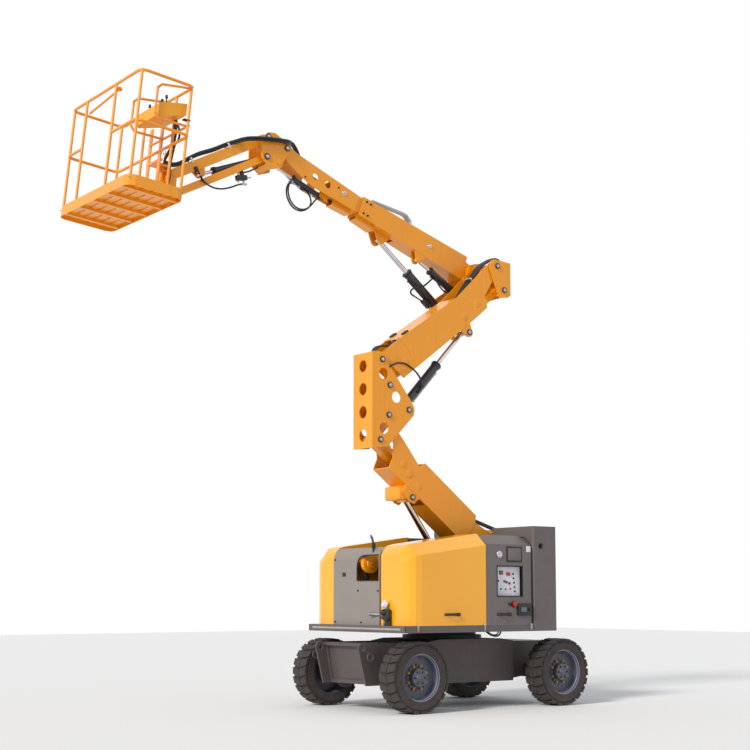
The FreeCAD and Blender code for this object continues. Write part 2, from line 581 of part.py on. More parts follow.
def cover_sections(rows, inner_y, outer_y, inset):
    """Cross sections of a hollow cover from rows of (x, crease z, crest z, how far the side is drawn in)."""
    sections = []
    side = 1.0 if outer_y > 0 else -1.0
    for x, crease, crest, drawn_in in rows:
        outer = outer_y - side * (inset + drawn_in)
        inner = inner_y + side * inset
        shoulder = outer_y - side * (COVER_SHOULDER + 0.5 * drawn_in)
        low = COVER_BOTTOM - (1.0 if inset else 0.0)
        points = [
            Vector(x, inner, low), Vector(x, outer, low), Vector(x, outer, crease - inset),
            Vector(x, shoulder, crest - inset), Vector(x, inner, crest - inset),
        ]
        sections.append(Part.makePolygon(points + points[:1]))
    return sections


def hood_sections(inner_y, outer_y, inset):
    """Cross sections of a yellow hood from rear to front."""
    front = HOOD_FRONT - inset
    rows = [
        (HOOD_REAR, HOOD_CREASE, HOOD_CREST, 0.0),
        (HOOD_FRONT - HOOD_CORNER - 25.0, HOOD_NOSE_CREASE + 100.0, HOOD_NOSE_CREST + 120.0, 0.0),
        (front - 0.62 * HOOD_CORNER, HOOD_NOSE_CREASE + 86.0, HOOD_NOSE_CREST + 102.0, 0.10 * HOOD_CORNER),
        (front - 0.22 * HOOD_CORNER, HOOD_NOSE_CREASE + 52.0, HOOD_NOSE_CREST + 58.0, 0.42 * HOOD_CORNER),
        (front, HOOD_NOSE_CREASE, HOOD_NOSE_CREST, HOOD_CORNER),
    ]
    return cover_sections(rows, inner_y, outer_y, inset)


def hood(inner_y, outer_y):
    shell = Part.makeLoft(hood_sections(inner_y, outer_y, 0.0), True, True)
    hollow = Part.makeLoft(hood_sections(inner_y, outer_y, COVER_WALL), True, True)
    side = 1.0 if outer_y > 0 else -1.0
    y0, y1 = sorted((inner_y - side * 1.0, inner_y + side * (COVER_WALL + 1.0)))
    open_side = box(HOOD_REAR - 1.0, HOOD_FRONT - 90.0, y0, y1, COVER_BOTTOM - 1.0, OPEN_SIDE_TOP)
    return without(shell, [hollow, open_side])


def control_cover(inner_y, outer_y, window):
    """Grey rear cover between hood and counterweight."""
    x0 = COUNTERWEIGHT_FRONT + COVER_GAP
    x1 = HOOD_REAR - COVER_GAP

    def body(inset):
        rear = x0 + inset
        rows = [
            (x1 - inset, COVER_CREASE, COVER_CREST, 0.0), (rear + REAR_CORNER, COVER_CREASE, COVER_CREST, 0.0),
            (rear + 0.38 * REAR_CORNER, COVER_CREASE - 10.0, COVER_CREST - 16.0, 0.05 * REAR_CORNER),
            (rear + 0.10 * REAR_CORNER, COVER_CREASE - 38.0, COVER_CREST - 48.0, 0.15 * REAR_CORNER),
            (rear, COVER_CREASE - 80.0, COVER_CREST - 88.0, 0.25 * REAR_CORNER),
        ]
        return Part.makeLoft(cover_sections(rows, inner_y, outer_y, inset), True, True)

    side = 1.0 if outer_y > 0 else -1.0
    y0, y1 = sorted((inner_y - side * 1.0, inner_y + side * (COVER_WALL + 1.0)))
    open_side = box(x0 - 1.0, x1 + 1.0, y0, y1, COVER_BOTTOM - 10.0, OPEN_SIDE_TOP)
    shape = without(body(0.0), [body(COVER_WALL), open_side])
    if window:
        shape = shape.cut(box(*window, TURRET_HALF_WIDTH - 40.0, TURRET_HALF_WIDTH + 1.0, WINDOW_BOTTOM,
                              WINDOW_TOP))
    return shape


PANEL_WINDOW = (-417.0, -60.0)


def control_panel():
    """Ground controls behind the window of the left rear cover, on a post."""
    x0, x1 = PANEL_WINDOW
    panel = box(x0 + 6.0, x1 - 6.0, TURRET_HALF_WIDTH - 66.0, TURRET_HALF_WIDTH - 36.0, WINDOW_BOTTOM + 6.0,
                WINDOW_TOP - 6.0)
    post = box(-270.0, -210.0, TURRET_HALF_WIDTH - 66.0, TURRET_HALF_WIDTH - 36.0, BASE_PLATE_TOP,
               WINDOW_BOTTOM + 6.0)
    return joined([panel, post])


FRONT_COVER_REAR = 1022.0


def front_cover():
    """Fixed grey cover between the hoods, with the opening for the riser hoses."""
    y0 = TUNNEL_FAR_Y + COVER_GAP
    y1 = TUNNEL_NEAR_Y - COVER_GAP - 6.0
    outline = [
        (HOOD_FRONT + 12.0, BASE_PLATE_TOP), (HOOD_FRONT + 12.0, OPENING_TOP - 40.0),
        (HOOD_FRONT + 2.0, OPENING_TOP + 5.0), (HOOD_FRONT - 20.0, OPENING_TOP + 40.0),
        (HOOD_FRONT - 50.0, OPENING_TOP + 65.0), (FRONT_COVER_REAR, OPENING_TOP + 82.0),
        (FRONT_COVER_REAR, BASE_PLATE_TOP),
    ]
    inner = [
        (HOOD_FRONT + 4.0, BASE_PLATE_TOP - 1.0), (HOOD_FRONT + 4.0, OPENING_TOP - 43.0),
        (HOOD_FRONT - 6.0, OPENING_TOP + 1.0), (HOOD_FRONT - 26.0, OPENING_TOP + 34.0),
        (HOOD_FRONT - 52.0, OPENING_TOP + 57.0), (FRONT_COVER_REAR - 1.0, OPENING_TOP + 74.0),
        (FRONT_COVER_REAR - 1.0, BASE_PLATE_TOP - 1.0),
    ]
    shell = prism_y(outline, y0, y1).cut(prism_y(inner, y0 + COVER_WALL, y1 - COVER_WALL))
    opening = prism_x([
        (-40.0, OPENING_BOTTOM), (-40.0, OPENING_TOP - 130.0), (-22.0, OPENING_TOP - 70.0),
        (22.0, OPENING_TOP - 22.0), (82.0, OPENING_TOP), (y1 - 12.0, OPENING_TOP), (y1 - 12.0, OPENING_BOTTOM),
    ], HOOD_FRONT - 30.0, HOOD_FRONT + 30.0)
    return shell.cut(opening)


# Risers


def lower_arm():
    rear = LOWER_LENGTH
    lug_s = LOWER_LUG_ALONG
    plate = prism_y(lower_line.outline([
        (0.0, 50.0), (184.0, -45.0), (342.0, -75.0), (645.0, -155.0), (rear - 458.0, -150.0),
        (rear - 217.0, -111.0), (rear, 50.0), (rear + 40.0, -30.0), (rear - 110.0, -110.0),
        (rear - 175.0, -290.0), (rear - 240.0, -433.0), (360.0, -433.0), (352.0, -417.0), (331.0, -311.0),
        (288.0, -263.0), (262.0, -200.0), (170.0, -130.0), (0.0, -55.0),
    ]), ARM_PLATE_INNER, ARM_PLATE_OUTER)
    channel = prism_y(lower_line.outline([
        (660.0, -437.0), (660.0, -160.0), (705.0, -83.0), (rear - 500.0, -83.0), (rear - 460.0, -150.0), (rear - 460.0, -437.0),
    ]), ARM_PLATE_OUTER, ARM_COVER_OUTER)
    lug = joined([
        prism_y(lower_line.outline([(lug_s - 151.0, -400.0), (lug_s - 136.0, -530.0), (lug_s - 49.0, -545.0),
                                    (lug_s + 59.0, -530.0), (lug_s + 89.0, -400.0)]),
                ARM_PLATE_OUTER - 30.0, ARM_PLATE_OUTER),
        pin_y(LOWER_LUG, 58.0, ARM_PLATE_OUTER - 30.0, ARM_PLATE_OUTER),
    ])
    shapes = both_sides(plate) + both_sides(channel) + both_sides(lug)
    width = ARM_PLATE_INNER
    cover = prism_y(lower_line.outline([(705.0, -95.0), (705.0, -83.0), (rear - 500.0, -83.0),
                                        (rear - 500.0, -95.0)]), -ARM_COVER_OUTER, ARM_COVER_OUTER)
    floor_plate = prism_y(lower_line.outline([(362.0, -433.0), (362.0, -421.0), (rear - 240.0, -421.0),
                                              (rear - 240.0, -433.0)]), -width, width)
    front_plate = prism_y(lower_line.outline([(648.0, -433.0), (640.0, -530.0), (654.0, -532.0),
                                              (662.0, -433.0)]), -width, width)
    for point in (LOWER_TOP, LOWER_FOOT):
        shapes.append(pin_y(point, 85.0, ARM_PLATE_INNER, ARM_PLATE_OUTER))
        shapes.append(pin_y(point, 85.0, -ARM_PLATE_OUTER, -ARM_PLATE_INNER))
        shapes.append(pin_y(point, 42.0, -ARM_PLATE_INNER, ARM_PLATE_INNER))
    cheeks = both_sides(prism_y(lower_line.outline([(700.0, -155.0), (705.0, -83.0), (rear - 500.0, -83.0),
                                                    (rear - 460.0, -155.0)]), ARM_PLATE_INNER, ARM_COVER_OUTER))
    heads = [pin_y(LOWER_LUG, PIN_HEAD_RADIUS, ARM_PLATE_OUTER, ARM_PLATE_OUTER + 8.0),
             pin_y(LOWER_LUG, PIN_HEAD_RADIUS, -ARM_PLATE_OUTER - 8.0, -ARM_PLATE_OUTER)]
    floor_plate = floor_plate.cut(prism_y(lower_line.outline([(664.0, -440.0), (664.0, -410.0),
                                                              (990.0, -410.0), (990.0, -440.0)]), -112.0, 112.0))
    shape = joined(shapes + cheeks + [cover, floor_plate, front_plate] + heads)
    bores = [pin_y(point, PIN_RADIUS + PIN_GAP, -200.0, 200.0) for point in (LOWER_TOP, LOWER_FOOT)]
    return without(shape, bores)


def link(foot, top, name):
    """A box-section link between two pins."""
    line = Line(foot, angle_of(foot, top))
    length = math.dist(foot, top)
    body = prism_y(line.outline([(0.0, -LINK_HALF_DEPTH), (length, -LINK_HALF_DEPTH),
                                 (length, LINK_HALF_DEPTH), (0.0, LINK_HALF_DEPTH)]),
                   -LINK_HALF_WIDTH, LINK_HALF_WIDTH)
    shapes = [body]
    for point in (foot, top):
        shapes.append(pin_y(point, 46.0, -ARM_PLATE_INNER + 12.0, ARM_PLATE_INNER - 12.0))
    bores = [pin_y(point, PIN_RADIUS + PIN_GAP, -200.0, 200.0) for point in (foot, top)]
    return without(joined(shapes), bores)


MID_FRONT_X = LOWER_TOP[0] + 217.0
MID_BOTTOM_Z = LOWER_TOP[1] - 359.0
MID_TOP_Z = UPPER_FOOT[1] + 73.0
MID_OUTLINE = [
    (MID_FRONT_X, MID_BOTTOM_Z), (MID_FRONT_X, MID_TOP_Z), offset(UPPER_FOOT, (46.0, 85.0)),
    offset(UPPER_FOOT, (-34.0, 65.0)), offset(UPPER_FOOT, (-99.0, -53.0)),
    offset(UPPER_CYLINDER_BASE, (-52.0, 74.0)), offset(UPPER_CYLINDER_BASE, (-82.0, 14.0)),
    offset(UPPER_CYLINDER_BASE, (-67.0, -56.0)), offset(LOWER_TOP, (-173.0, -153.0)),
    offset(LOWER_TOP, (17.0, -343.0)),
]
MID_SIDE_HOLES = [
    offset(UPPER_FOOT, (-21.0, -151.0)), offset(UPPER_CYLINDER_BASE, (166.0, 124.0)),
    offset(LOWER_TOP, (60.0, -146.0)),
]
MID_SIDE_HOLE_RADIUS = 61.0
MID_FRONT_HOLES = 4
MID_FRONT_HOLE_RADIUS = 67.0
MID_FRONT_HOLE_LOW = MID_BOTTOM_Z + 138.0
MID_FRONT_HOLE_PITCH = (MID_TOP_Z - MID_BOTTOM_Z - 30.0) / MID_FRONT_HOLES


def mid_pivot():
    plate = prism_y(MID_OUTLINE, PIVOT_PLATE_INNER, PIVOT_PLATE_OUTER)
    holes = [pin_y(point, MID_SIDE_HOLE_RADIUS, -300.0, 300.0) for point in MID_SIDE_HOLES]
    front = box(MID_FRONT_X - 14.0, MID_FRONT_X, -PIVOT_PLATE_OUTER, PIVOT_PLATE_OUTER, MID_BOTTOM_Z, MID_TOP_Z)
    round_holes = [
        Part.makeCylinder(MID_FRONT_HOLE_RADIUS, 60.0,
                          Vector(MID_FRONT_X - 40.0, 0.0, MID_FRONT_HOLE_LOW + MID_FRONT_HOLE_PITCH * index),
                          Vector(1, 0, 0))
        for index in range(MID_FRONT_HOLES)
    ]
    walls = without(joined(both_sides(plate) + [front]), holes + round_holes)
    pins = pins_through([LOWER_TOP, LOWER_LINK_TOP, UPPER_FOOT, UPPER_LINK_FOOT, UPPER_CYLINDER_BASE],
                        -PIVOT_PLATE_OUTER, PIVOT_PLATE_OUTER)
    return joined([walls] + pins)


def upper_arm():
    rear = UPPER_LENGTH
    cover_end = rear - 736.0
    lug_s = UPPER_LUG_ALONG
    plate = prism_y(upper_line.outline([
        (0.0, 55.0), (375.0, 48.0), (cover_end, 0.0), (rear, 85.0), (rear + 40.0, 10.0),
        (rear, -60.0), (rear - 152.0, -115.0), (rear - 357.0, -189.0), (rear - 366.0, -258.0),
        (rear - 409.0, -315.0), (rear - 671.0, -325.0), (150.0, -323.0), (140.0, -300.0), (75.0, -100.0),
        (0.0, -60.0),
    ]), ARM_PLATE_INNER, ARM_PLATE_OUTER)
    channel = prism_y(upper_line.outline([
        (375.0, -323.0), (375.0, 53.0), (cover_end, 3.0), (cover_end - 70.0, -323.0),
    ]), ARM_PLATE_INNER, ARM_COVER_OUTER)
    lug = joined([
        prism_y(upper_line.outline([(lug_s - 89.0, -310.0), (lug_s - 49.0, -400.0), (lug_s + 49.0, -400.0),
                                    (lug_s + 76.0, -310.0)]),
                ARM_PLATE_INNER - 14.0, ARM_PLATE_OUTER),
        pin_y(UPPER_LUG, 52.0, ARM_PLATE_INNER - 14.0, ARM_PLATE_OUTER),
    ])
    shapes = both_sides(plate) + both_sides(channel) + both_sides(lug)
    shapes.append(prism_y(upper_line.outline([(375.0, 41.0), (375.0, 53.0), (cover_end, 3.0), (cover_end, -9.0)]),
                          -ARM_COVER_OUTER, ARM_COVER_OUTER))
    for point in (UPPER_FOOT, UPPER_TOP):
        shapes.append(pin_y(point, 82.0, ARM_PLATE_INNER, ARM_PLATE_OUTER))
        shapes.append(pin_y(point, 82.0, -ARM_PLATE_OUTER, -ARM_PLATE_INNER))
        shapes.append(pin_y(point, 42.0, -ARM_PLATE_INNER, ARM_PLATE_INNER))
    shapes.append(pin_y(UPPER_LUG, PIN_HEAD_RADIUS, ARM_PLATE_OUTER, ARM_PLATE_OUTER + 8.0))
    shapes.append(pin_y(UPPER_LUG, PIN_HEAD_RADIUS, -ARM_PLATE_OUTER - 8.0, -ARM_PLATE_OUTER))
    bores = [pin_y(point, PIN_RADIUS + PIN_GAP, -200.0, 200.0) for point in (UPPER_FOOT, UPPER_TOP)]
    return without(joined(shapes), bores)


EAR_NEAR = (-PIVOT_PLATE_OUTER - 2.0, -PIVOT_PLATE_INNER)
EAR_FAR = (BOOM_Y - BOOM_FOOT_HALF - BOOM_EAR_GAP - 16.0, BOOM_Y - BOOM_FOOT_HALF - BOOM_EAR_GAP)


def upper_pivot():
    """Upright at the top of the risers: arm and link on its left, main boom and cylinders on its right."""
    top = UPPER_TOP
    back_x = top[0] - 202.0
    back_low = top[1] - 320.0
    left = prism_y([
        offset(top, (111.0, -36.0)), offset(top, (86.0, 52.0)), offset(top, (43.0, 72.0)), (back_x, top[1] + 58.0),
        (back_x, back_low), offset(top, (-157.0, -348.0)), offset(top, (-34.0, -361.0)),
        offset(top, (3.0, -300.0)),
    ], PIVOT_PLATE_INNER, PIVOT_PLATE_OUTER)
    right_outline = [
        (back_x, top[1] + 65.0), offset(BOOM_PIVOT, (-31.0, 89.0)), offset(BOOM_PIVOT, (69.0, 59.0)),
        offset(BOOM_PIVOT, (89.0, -21.0)), offset(MASTER_BASE, (80.0, 80.0)), offset(LIFT_BASE, (90.0, 275.0)),
        offset(LIFT_BASE, (120.0, 205.0)), offset(LIFT_BASE, (65.0, -5.0)), offset(LIFT_BASE, (20.0, -67.0)),
        offset(LIFT_BASE, (-30.0, -67.0)), offset(LIFT_BASE, (-80.0, -5.0)), offset(LIFT_BASE, (-280.0, 185.0)),
        (back_x, back_low),
    ]
    near_ear = prism_y(right_outline, *EAR_NEAR)
    far_ear = prism_y(right_outline, *EAR_FAR)
    back = box(back_x, back_x + 15.0, EAR_FAR[0], PIVOT_PLATE_OUTER, back_low, top[1] + 58.0)
    shapes = [left, near_ear, far_ear, back]
    for point in (UPPER_TOP, UPPER_LINK_TOP):
        shapes.append(pin_y(point, PIN_RADIUS, EAR_NEAR[0], PIVOT_PLATE_OUTER))
        shapes.append(pin_y(point, PIN_HEAD_RADIUS, PIVOT_PLATE_OUTER, PIVOT_PLATE_OUTER + PIN_HEAD))
    for point in (BOOM_PIVOT, LIFT_BASE, MASTER_BASE):
        shapes.append(pin_y(point, PIN_RADIUS, EAR_FAR[0], EAR_NEAR[1]))
        shapes.append(pin_y(point, PIN_HEAD_RADIUS, EAR_FAR[0] - PIN_HEAD, EAR_FAR[0]))
    return joined(shapes)


# Main boom


def boom_outer():
    y0 = BOOM_Y - BOOM_HALF_WIDTH
    y1 = BOOM_Y + BOOM_HALF_WIDTH
    rear_half = BOOM_REAR_HALF_HEIGHT
    front_half = BOOM_FRONT_HALF_HEIGHT
    shell = prism_y(boom_line.outline([
        (BOOM_START, -rear_half), (BOOM_LENGTH, -front_half), (BOOM_LENGTH, front_half),
        (BOOM_START, rear_half),
    ]), y0, y1)
    hollow = prism_y(boom_line.outline([
        (BOOM_START + 20.0, BOOM_WALL - rear_half), (BOOM_LENGTH + 1.0, BOOM_WALL - front_half),
        (BOOM_LENGTH + 1.0, front_half - BOOM_WALL), (BOOM_START + 20.0, rear_half - BOOM_WALL),
    ]), y0 + BOOM_WALL, y1 - BOOM_WALL)
    foot = prism_y(boom_line.outline([
        (0.0, -62.0), (BOOM_START + 1.0, -rear_half), (BOOM_START + 1.0, 80.0), (0.0, 62.0),
    ]), y0, y0 + 18.0)
    foot_far = foot.translated(Vector(0, 2.0 * BOOM_HALF_WIDTH - 18.0, 0))
    tube = pin_y(BOOM_PIVOT, 62.0, BOOM_Y - BOOM_FOOT_HALF, BOOM_Y + BOOM_FOOT_HALF)
    shapes = [shell.cut(hollow), foot, foot_far, tube]
    for low, high in ((INNER_HALF_HEIGHT + SEAT_GAP, front_half), (-front_half, -INNER_HALF_HEIGHT - SEAT_GAP)):
        shapes.append(prism_y(boom_line.outline([
            (BOOM_LENGTH - 60.0, low), (BOOM_LENGTH - 6.0, low), (BOOM_LENGTH - 6.0, high),
            (BOOM_LENGTH - 60.0, high),
        ]), BOOM_Y - 60.0, BOOM_Y + 60.0))
    lift = [(LIFT_LUG_ALONG + s, n) for s, n in ((-132.0, -112.0), (-58.0, -190.0), (58.0, -205.0), (131.0, -110.0))]
    master = [(MASTER_LUG_ALONG + s, n) for s, n in ((-85.0, -122.0), (-45.0, -205.0), (45.0, -205.0),
                                                     (85.0, -122.0))]
    for outline, point, radius, y, half in (
        (lift, LIFT_LUG, 58.0, LIFT_Y, 50.0),
        (master, MASTER_LUG, 44.0, MASTER_Y, 30.0),
    ):
        for side in (-1.0, 1.0):
            a, b = sorted((y + side * half, y + side * (half + 12.0)))
            shapes.append(prism_y(boom_line.outline(outline), a, b))
            shapes.append(pin_y(point, radius, a, b))
            h0, h1 = sorted((y + side * (half + 12.0), y + side * (half + 20.0)))
            shapes.append(pin_y(point, 26.0, h0, h1))
    tray_start = LIFT_LUG_ALONG + 150.0
    tray = prism_y(boom_line.outline([
        (tray_start, -120.0), (tray_start + 12.0, -TRAY_DEPTH), (BOOM_LENGTH, -TRAY_DEPTH + 14.0),
        (BOOM_LENGTH, -100.0),
    ]), BOOM_Y - 60.0, BOOM_Y + 60.0)
    tray_hollow = prism_y(boom_line.outline([
        (tray_start + 10.0, -126.0), (tray_start + 18.0, -TRAY_DEPTH + 5.0), (BOOM_LENGTH + 1.0, -TRAY_DEPTH + 19.0),
        (BOOM_LENGTH + 1.0, -112.0),
    ]), BOOM_Y - 55.0, BOOM_Y + 55.0)
    shapes.append(tray.cut(tray_hollow))
    shape = joined(shapes)
    window = prism_y(boom_line.outline([(LIFT_LUG_ALONG + s, n) for s, n in (
        (-162.0, -150.0), (-162.0, -95.0), (68.0, -95.0), (68.0, -150.0))]), LIFT_Y - 49.0, LIFT_Y + 49.0)
    pivot_bore = pin_y(BOOM_PIVOT, PIN_RADIUS + PIN_GAP, BOOM_Y - 300.0, BOOM_Y + 300.0)
    return without(shape, [window, pivot_bore])


def boom_top(s):
    """Height of the outer boom's top face over its middle line."""
    share = (s - BOOM_START) / (BOOM_LENGTH - BOOM_START)
    return BOOM_REAR_HALF_HEIGHT + share * (BOOM_FRONT_HALF_HEIGHT - BOOM_REAR_HALF_HEIGHT)


def chain_guard():
    """Arched guard over the cables on top of the outer boom."""
    rear = BOOM_LENGTH - 735.0
    front = BOOM_LENGTH - 135.0
    return prism_y(boom_line.outline([
        (rear, boom_top(rear)), (rear, 200.0), (rear + 80.0, 245.0), (rear + 140.0, 245.0), (front - 21.0, 172.0),
        (front, boom_top(front)), (front - 20.0, boom_top(front - 20.0)), (front - 40.0, 160.0),
        (rear + 135.0, 230.0), (rear + 85.0, 230.0), (rear + 15.0, 192.0), (rear + 15.0, boom_top(rear + 15.0)),
    ]), BOOM_Y - 40.0, BOOM_Y + 40.0)


def boom_inner():
    half_width = BOOM_HALF_WIDTH - BOOM_WALL - INNER_CLEARANCE
    y0 = BOOM_Y - half_width
    y1 = BOOM_Y + half_width
    body = prism_y(boom_line.outline([
        (INNER_START, -INNER_HALF_HEIGHT), (INNER_END, -INNER_HALF_HEIGHT), (INNER_END, INNER_HALF_HEIGHT),
        (INNER_START, INNER_HALF_HEIGHT),
    ]), y0, y1)
    hollow = prism_y(boom_line.outline([
        (INNER_START - 1.0, BOOM_WALL - INNER_HALF_HEIGHT), (INNER_END + 1.0, BOOM_WALL - INNER_HALF_HEIGHT),
        (INNER_END + 1.0, INNER_HALF_HEIGHT - BOOM_WALL), (INNER_START - 1.0, INNER_HALF_HEIGHT - BOOM_WALL),
    ]), y0 + BOOM_WALL, y1 - BOOM_WALL)
    pad_face = BOOM_HALF_WIDTH - BOOM_WALL - SEAT_GAP
    shapes = [body.cut(hollow)]
    for low, high in ((BOOM_Y - pad_face, y0), (y1, BOOM_Y + pad_face)):
        shapes.append(prism_y(boom_line.outline([
            (INNER_START + 6.0, -50.0), (INNER_START + 80.0, -50.0), (INNER_START + 80.0, 50.0),
            (INNER_START + 6.0, 50.0),
        ]), min(low, high), max(low, high)))
    head = [
        (HEAD_START, -99.0), (HEAD_START, 84.0), (HEAD_PIN_ALONG - 140.0, 132.0), (HEAD_PIN_ALONG, 163.0),
        (HEAD_PIN_ALONG + 50.0, 120.0), (HEAD_PIN_ALONG, 55.0), (HEAD_PIN_ALONG - 60.0, -12.0),
        (HEAD_PIN_ALONG - 242.0, -70.0), (HEAD_PIN_ALONG - 436.0, -111.0),
    ]
    for side in (-1.0, 1.0):
        a, b = sorted((BOOM_Y + side * half_width, BOOM_Y + side * (half_width + 14.0)))
        shapes.append(prism_y(boom_line.outline(head), a, b))
        shapes.append(pin_y(HEAD_PIN, 54.0, a, b))
        h0, h1 = sorted((BOOM_Y + side * 36.0, BOOM_Y + side * 46.0))
        shapes.append(prism_y(boom_line.outline([
            (SLAVE_ALONG - 52.0, -140.0), (SLAVE_ALONG + 48.0, -140.0), (SLAVE_ALONG + 58.0, -80.0),
            (SLAVE_ALONG - 62.0, -80.0),
        ]), h0, h1))
    tray = prism_y(boom_line.outline([
        (HEAD_START + 15.0, -86.0), (HEAD_START + 15.0, -140.0), (HEAD_START + 270.0, -152.0),
        (HEAD_START + 270.0, -86.0),
    ]), BOOM_Y - 52.0, BOOM_Y + 52.0)
    tray_hollow = prism_y(boom_line.outline([
        (HEAD_START + 21.0, -92.0), (HEAD_START + 21.0, -135.0), (HEAD_START + 271.0, -147.0),
        (HEAD_START + 271.0, -92.0),
    ]), BOOM_Y - 47.0, BOOM_Y + 47.0)
    shapes.append(tray.cut(tray_hollow))
    shapes.append(pin_y(HEAD_PIN, 40.0, y0, y1))
    shapes.append(pin_y(SLAVE_BASE, PIN_RADIUS, BOOM_Y - 46.0, BOOM_Y + 46.0))
    shape = joined(shapes)
    holes = [pin_y(boom_line.at(HEAD_PIN_ALONG - back, 5.0), 40.0, -600.0, 0.0) for back in (611.0, 437.0)]
    holes.append(pin_y(HEAD_PIN, PIN_RADIUS + PIN_GAP, -600.0, 0.0))
    return without(shape, holes)


# Jib

JIB_PLATE = (118.0, 132.0)


def jib_base():
    """Levelled bracket on the boom head that carries both jib arms and the levelling cylinder."""
    h = HEAD_PIN
    outline = [
        offset(h, v) for v in (
            (-52.0, -10.0), (-48.0, 35.0), (-10.0, 55.0), (150.0, 138.0), (236.0, 130.0), (285.0, 84.0),
            (318.0, -20.0), (318.0, -160.0), (265.0, -200.0), (190.0, -262.0), (130.0, -240.0),
            (60.0, -215.0), (50.0, -160.0), (-30.0, -50.0),
        )
    ]
    shapes = []
    for side in (-1.0, 1.0):
        a, b = sorted((BOOM_Y + side * JIB_PLATE[0], BOOM_Y + side * JIB_PLATE[1]))
        shapes.append(prism_y(outline, a, b))
    low = offset(h, (190.0, -255.0))
    shapes.append(prism_y([low, offset(low, (60.0, 45.0)), offset(low, (54.0, 56.0)), offset(low, (-6.0, 12.0))],
                          BOOM_Y - JIB_PLATE[0], BOOM_Y + JIB_PLATE[0]))
    for point in (HEAD_PIN, JIB_TOP, JIB_LOW):
        shapes.append(pin_y(point, PIN_RADIUS, BOOM_Y - JIB_PLATE[1], BOOM_Y + JIB_PLATE[1]))
    for point in (HEAD_PIN, JIB_TOP, JIB_LOW, SLAVE_PIN):
        for side in (-1.0, 1.0):
            a, b = sorted((BOOM_Y + side * JIB_PLATE[1], BOOM_Y + side * (JIB_PLATE[1] + 12.0)))
            shapes.append(pin_y(point, 30.0, a, b))
    return joined(shapes)


def jib_upper_arm():
    body = prism_y(jib_line.outline([
        (150.0, -52.0), (JIB_LENGTH - 60.0, -52.0), (JIB_LENGTH, -40.0), (JIB_LENGTH, 40.0),
        (JIB_LENGTH - 60.0, 52.0), (150.0, 52.0),
    ]), BOOM_Y - 58.0, BOOM_Y + 58.0)
    hollow = prism_y(jib_line.outline([(700.0, -46.0), (JIB_LENGTH - 120.0, -46.0), (JIB_LENGTH - 120.0, 46.0),
                                       (700.0, 46.0)]), BOOM_Y - 50.0, BOOM_Y + 50.0)
    window = prism_y(jib_line.outline([(800.0, -60.0), (960.0, -60.0), (960.0, -40.0), (800.0, -40.0)]),
                     BOOM_Y - 33.0, BOOM_Y + 33.0)
    shapes = [without(body, [hollow, window])]
    for side in (-1.0, 1.0):
        a, b = sorted((BOOM_Y + side * 44.0, BOOM_Y + side * 58.0))
        shapes.append(prism_y(jib_line.outline([(0.0, -42.0), (160.0, -52.0), (160.0, 52.0), (0.0, 42.0)]), a, b))
        shapes.append(pin_y(JIB_TOP, 42.0, a, b))
        c, d = sorted((BOOM_Y + side * 34.0, BOOM_Y + side * 48.0))
        shapes.append(prism_y(jib_line.outline([(835.0, -46.0), (862.0, -115.0), (920.0, -115.0),
                                                (950.0, -46.0)]), c, d))
        shapes.append(pin_y(JIB_LUG, 33.0, c, d))
    shapes.append(pin_y(JIB_HEAD_TOP, 40.0, BOOM_Y - 58.0, BOOM_Y + 58.0))
    shapes.append(pin_y(JIB_TOP, 32.0, BOOM_Y - 58.0, BOOM_Y + 58.0))
    bores = [pin_y(p, PIN_RADIUS + PIN_GAP, -600.0, 0.0) for p in (JIB_TOP, JIB_HEAD_TOP)]
    return without(joined(shapes), bores)


def jib_lower_arm():
    shapes = []
    for side in (-1.0, 1.0):
        a, b = sorted((BOOM_Y + side * 64.0, BOOM_Y + side * 82.0))
        shapes.append(prism_y(jib_low_line.outline([(0.0, -37.0), (JIB_LENGTH, -37.0), (JIB_LENGTH, 37.0),
                                                    (0.0, 37.0)]), a, b))
        shapes.append(pin_y(JIB_LOW, 37.0, a, b))
        shapes.append(pin_y(JIB_HEAD_LOW, 37.0, a, b))
    shapes.append(prism_y(jib_low_line.outline([(JIB_LENGTH - 320.0, -37.0), (JIB_LENGTH - 80.0, -37.0),
                                                (JIB_LENGTH - 80.0, -29.0), (JIB_LENGTH - 320.0, -29.0)]),
                          BOOM_Y - 82.0, BOOM_Y + 82.0))
    bores = [pin_y(p, PIN_RADIUS + PIN_GAP, -600.0, 0.0) for p in (JIB_LOW, JIB_HEAD_LOW)]
    return without(joined(shapes), bores)


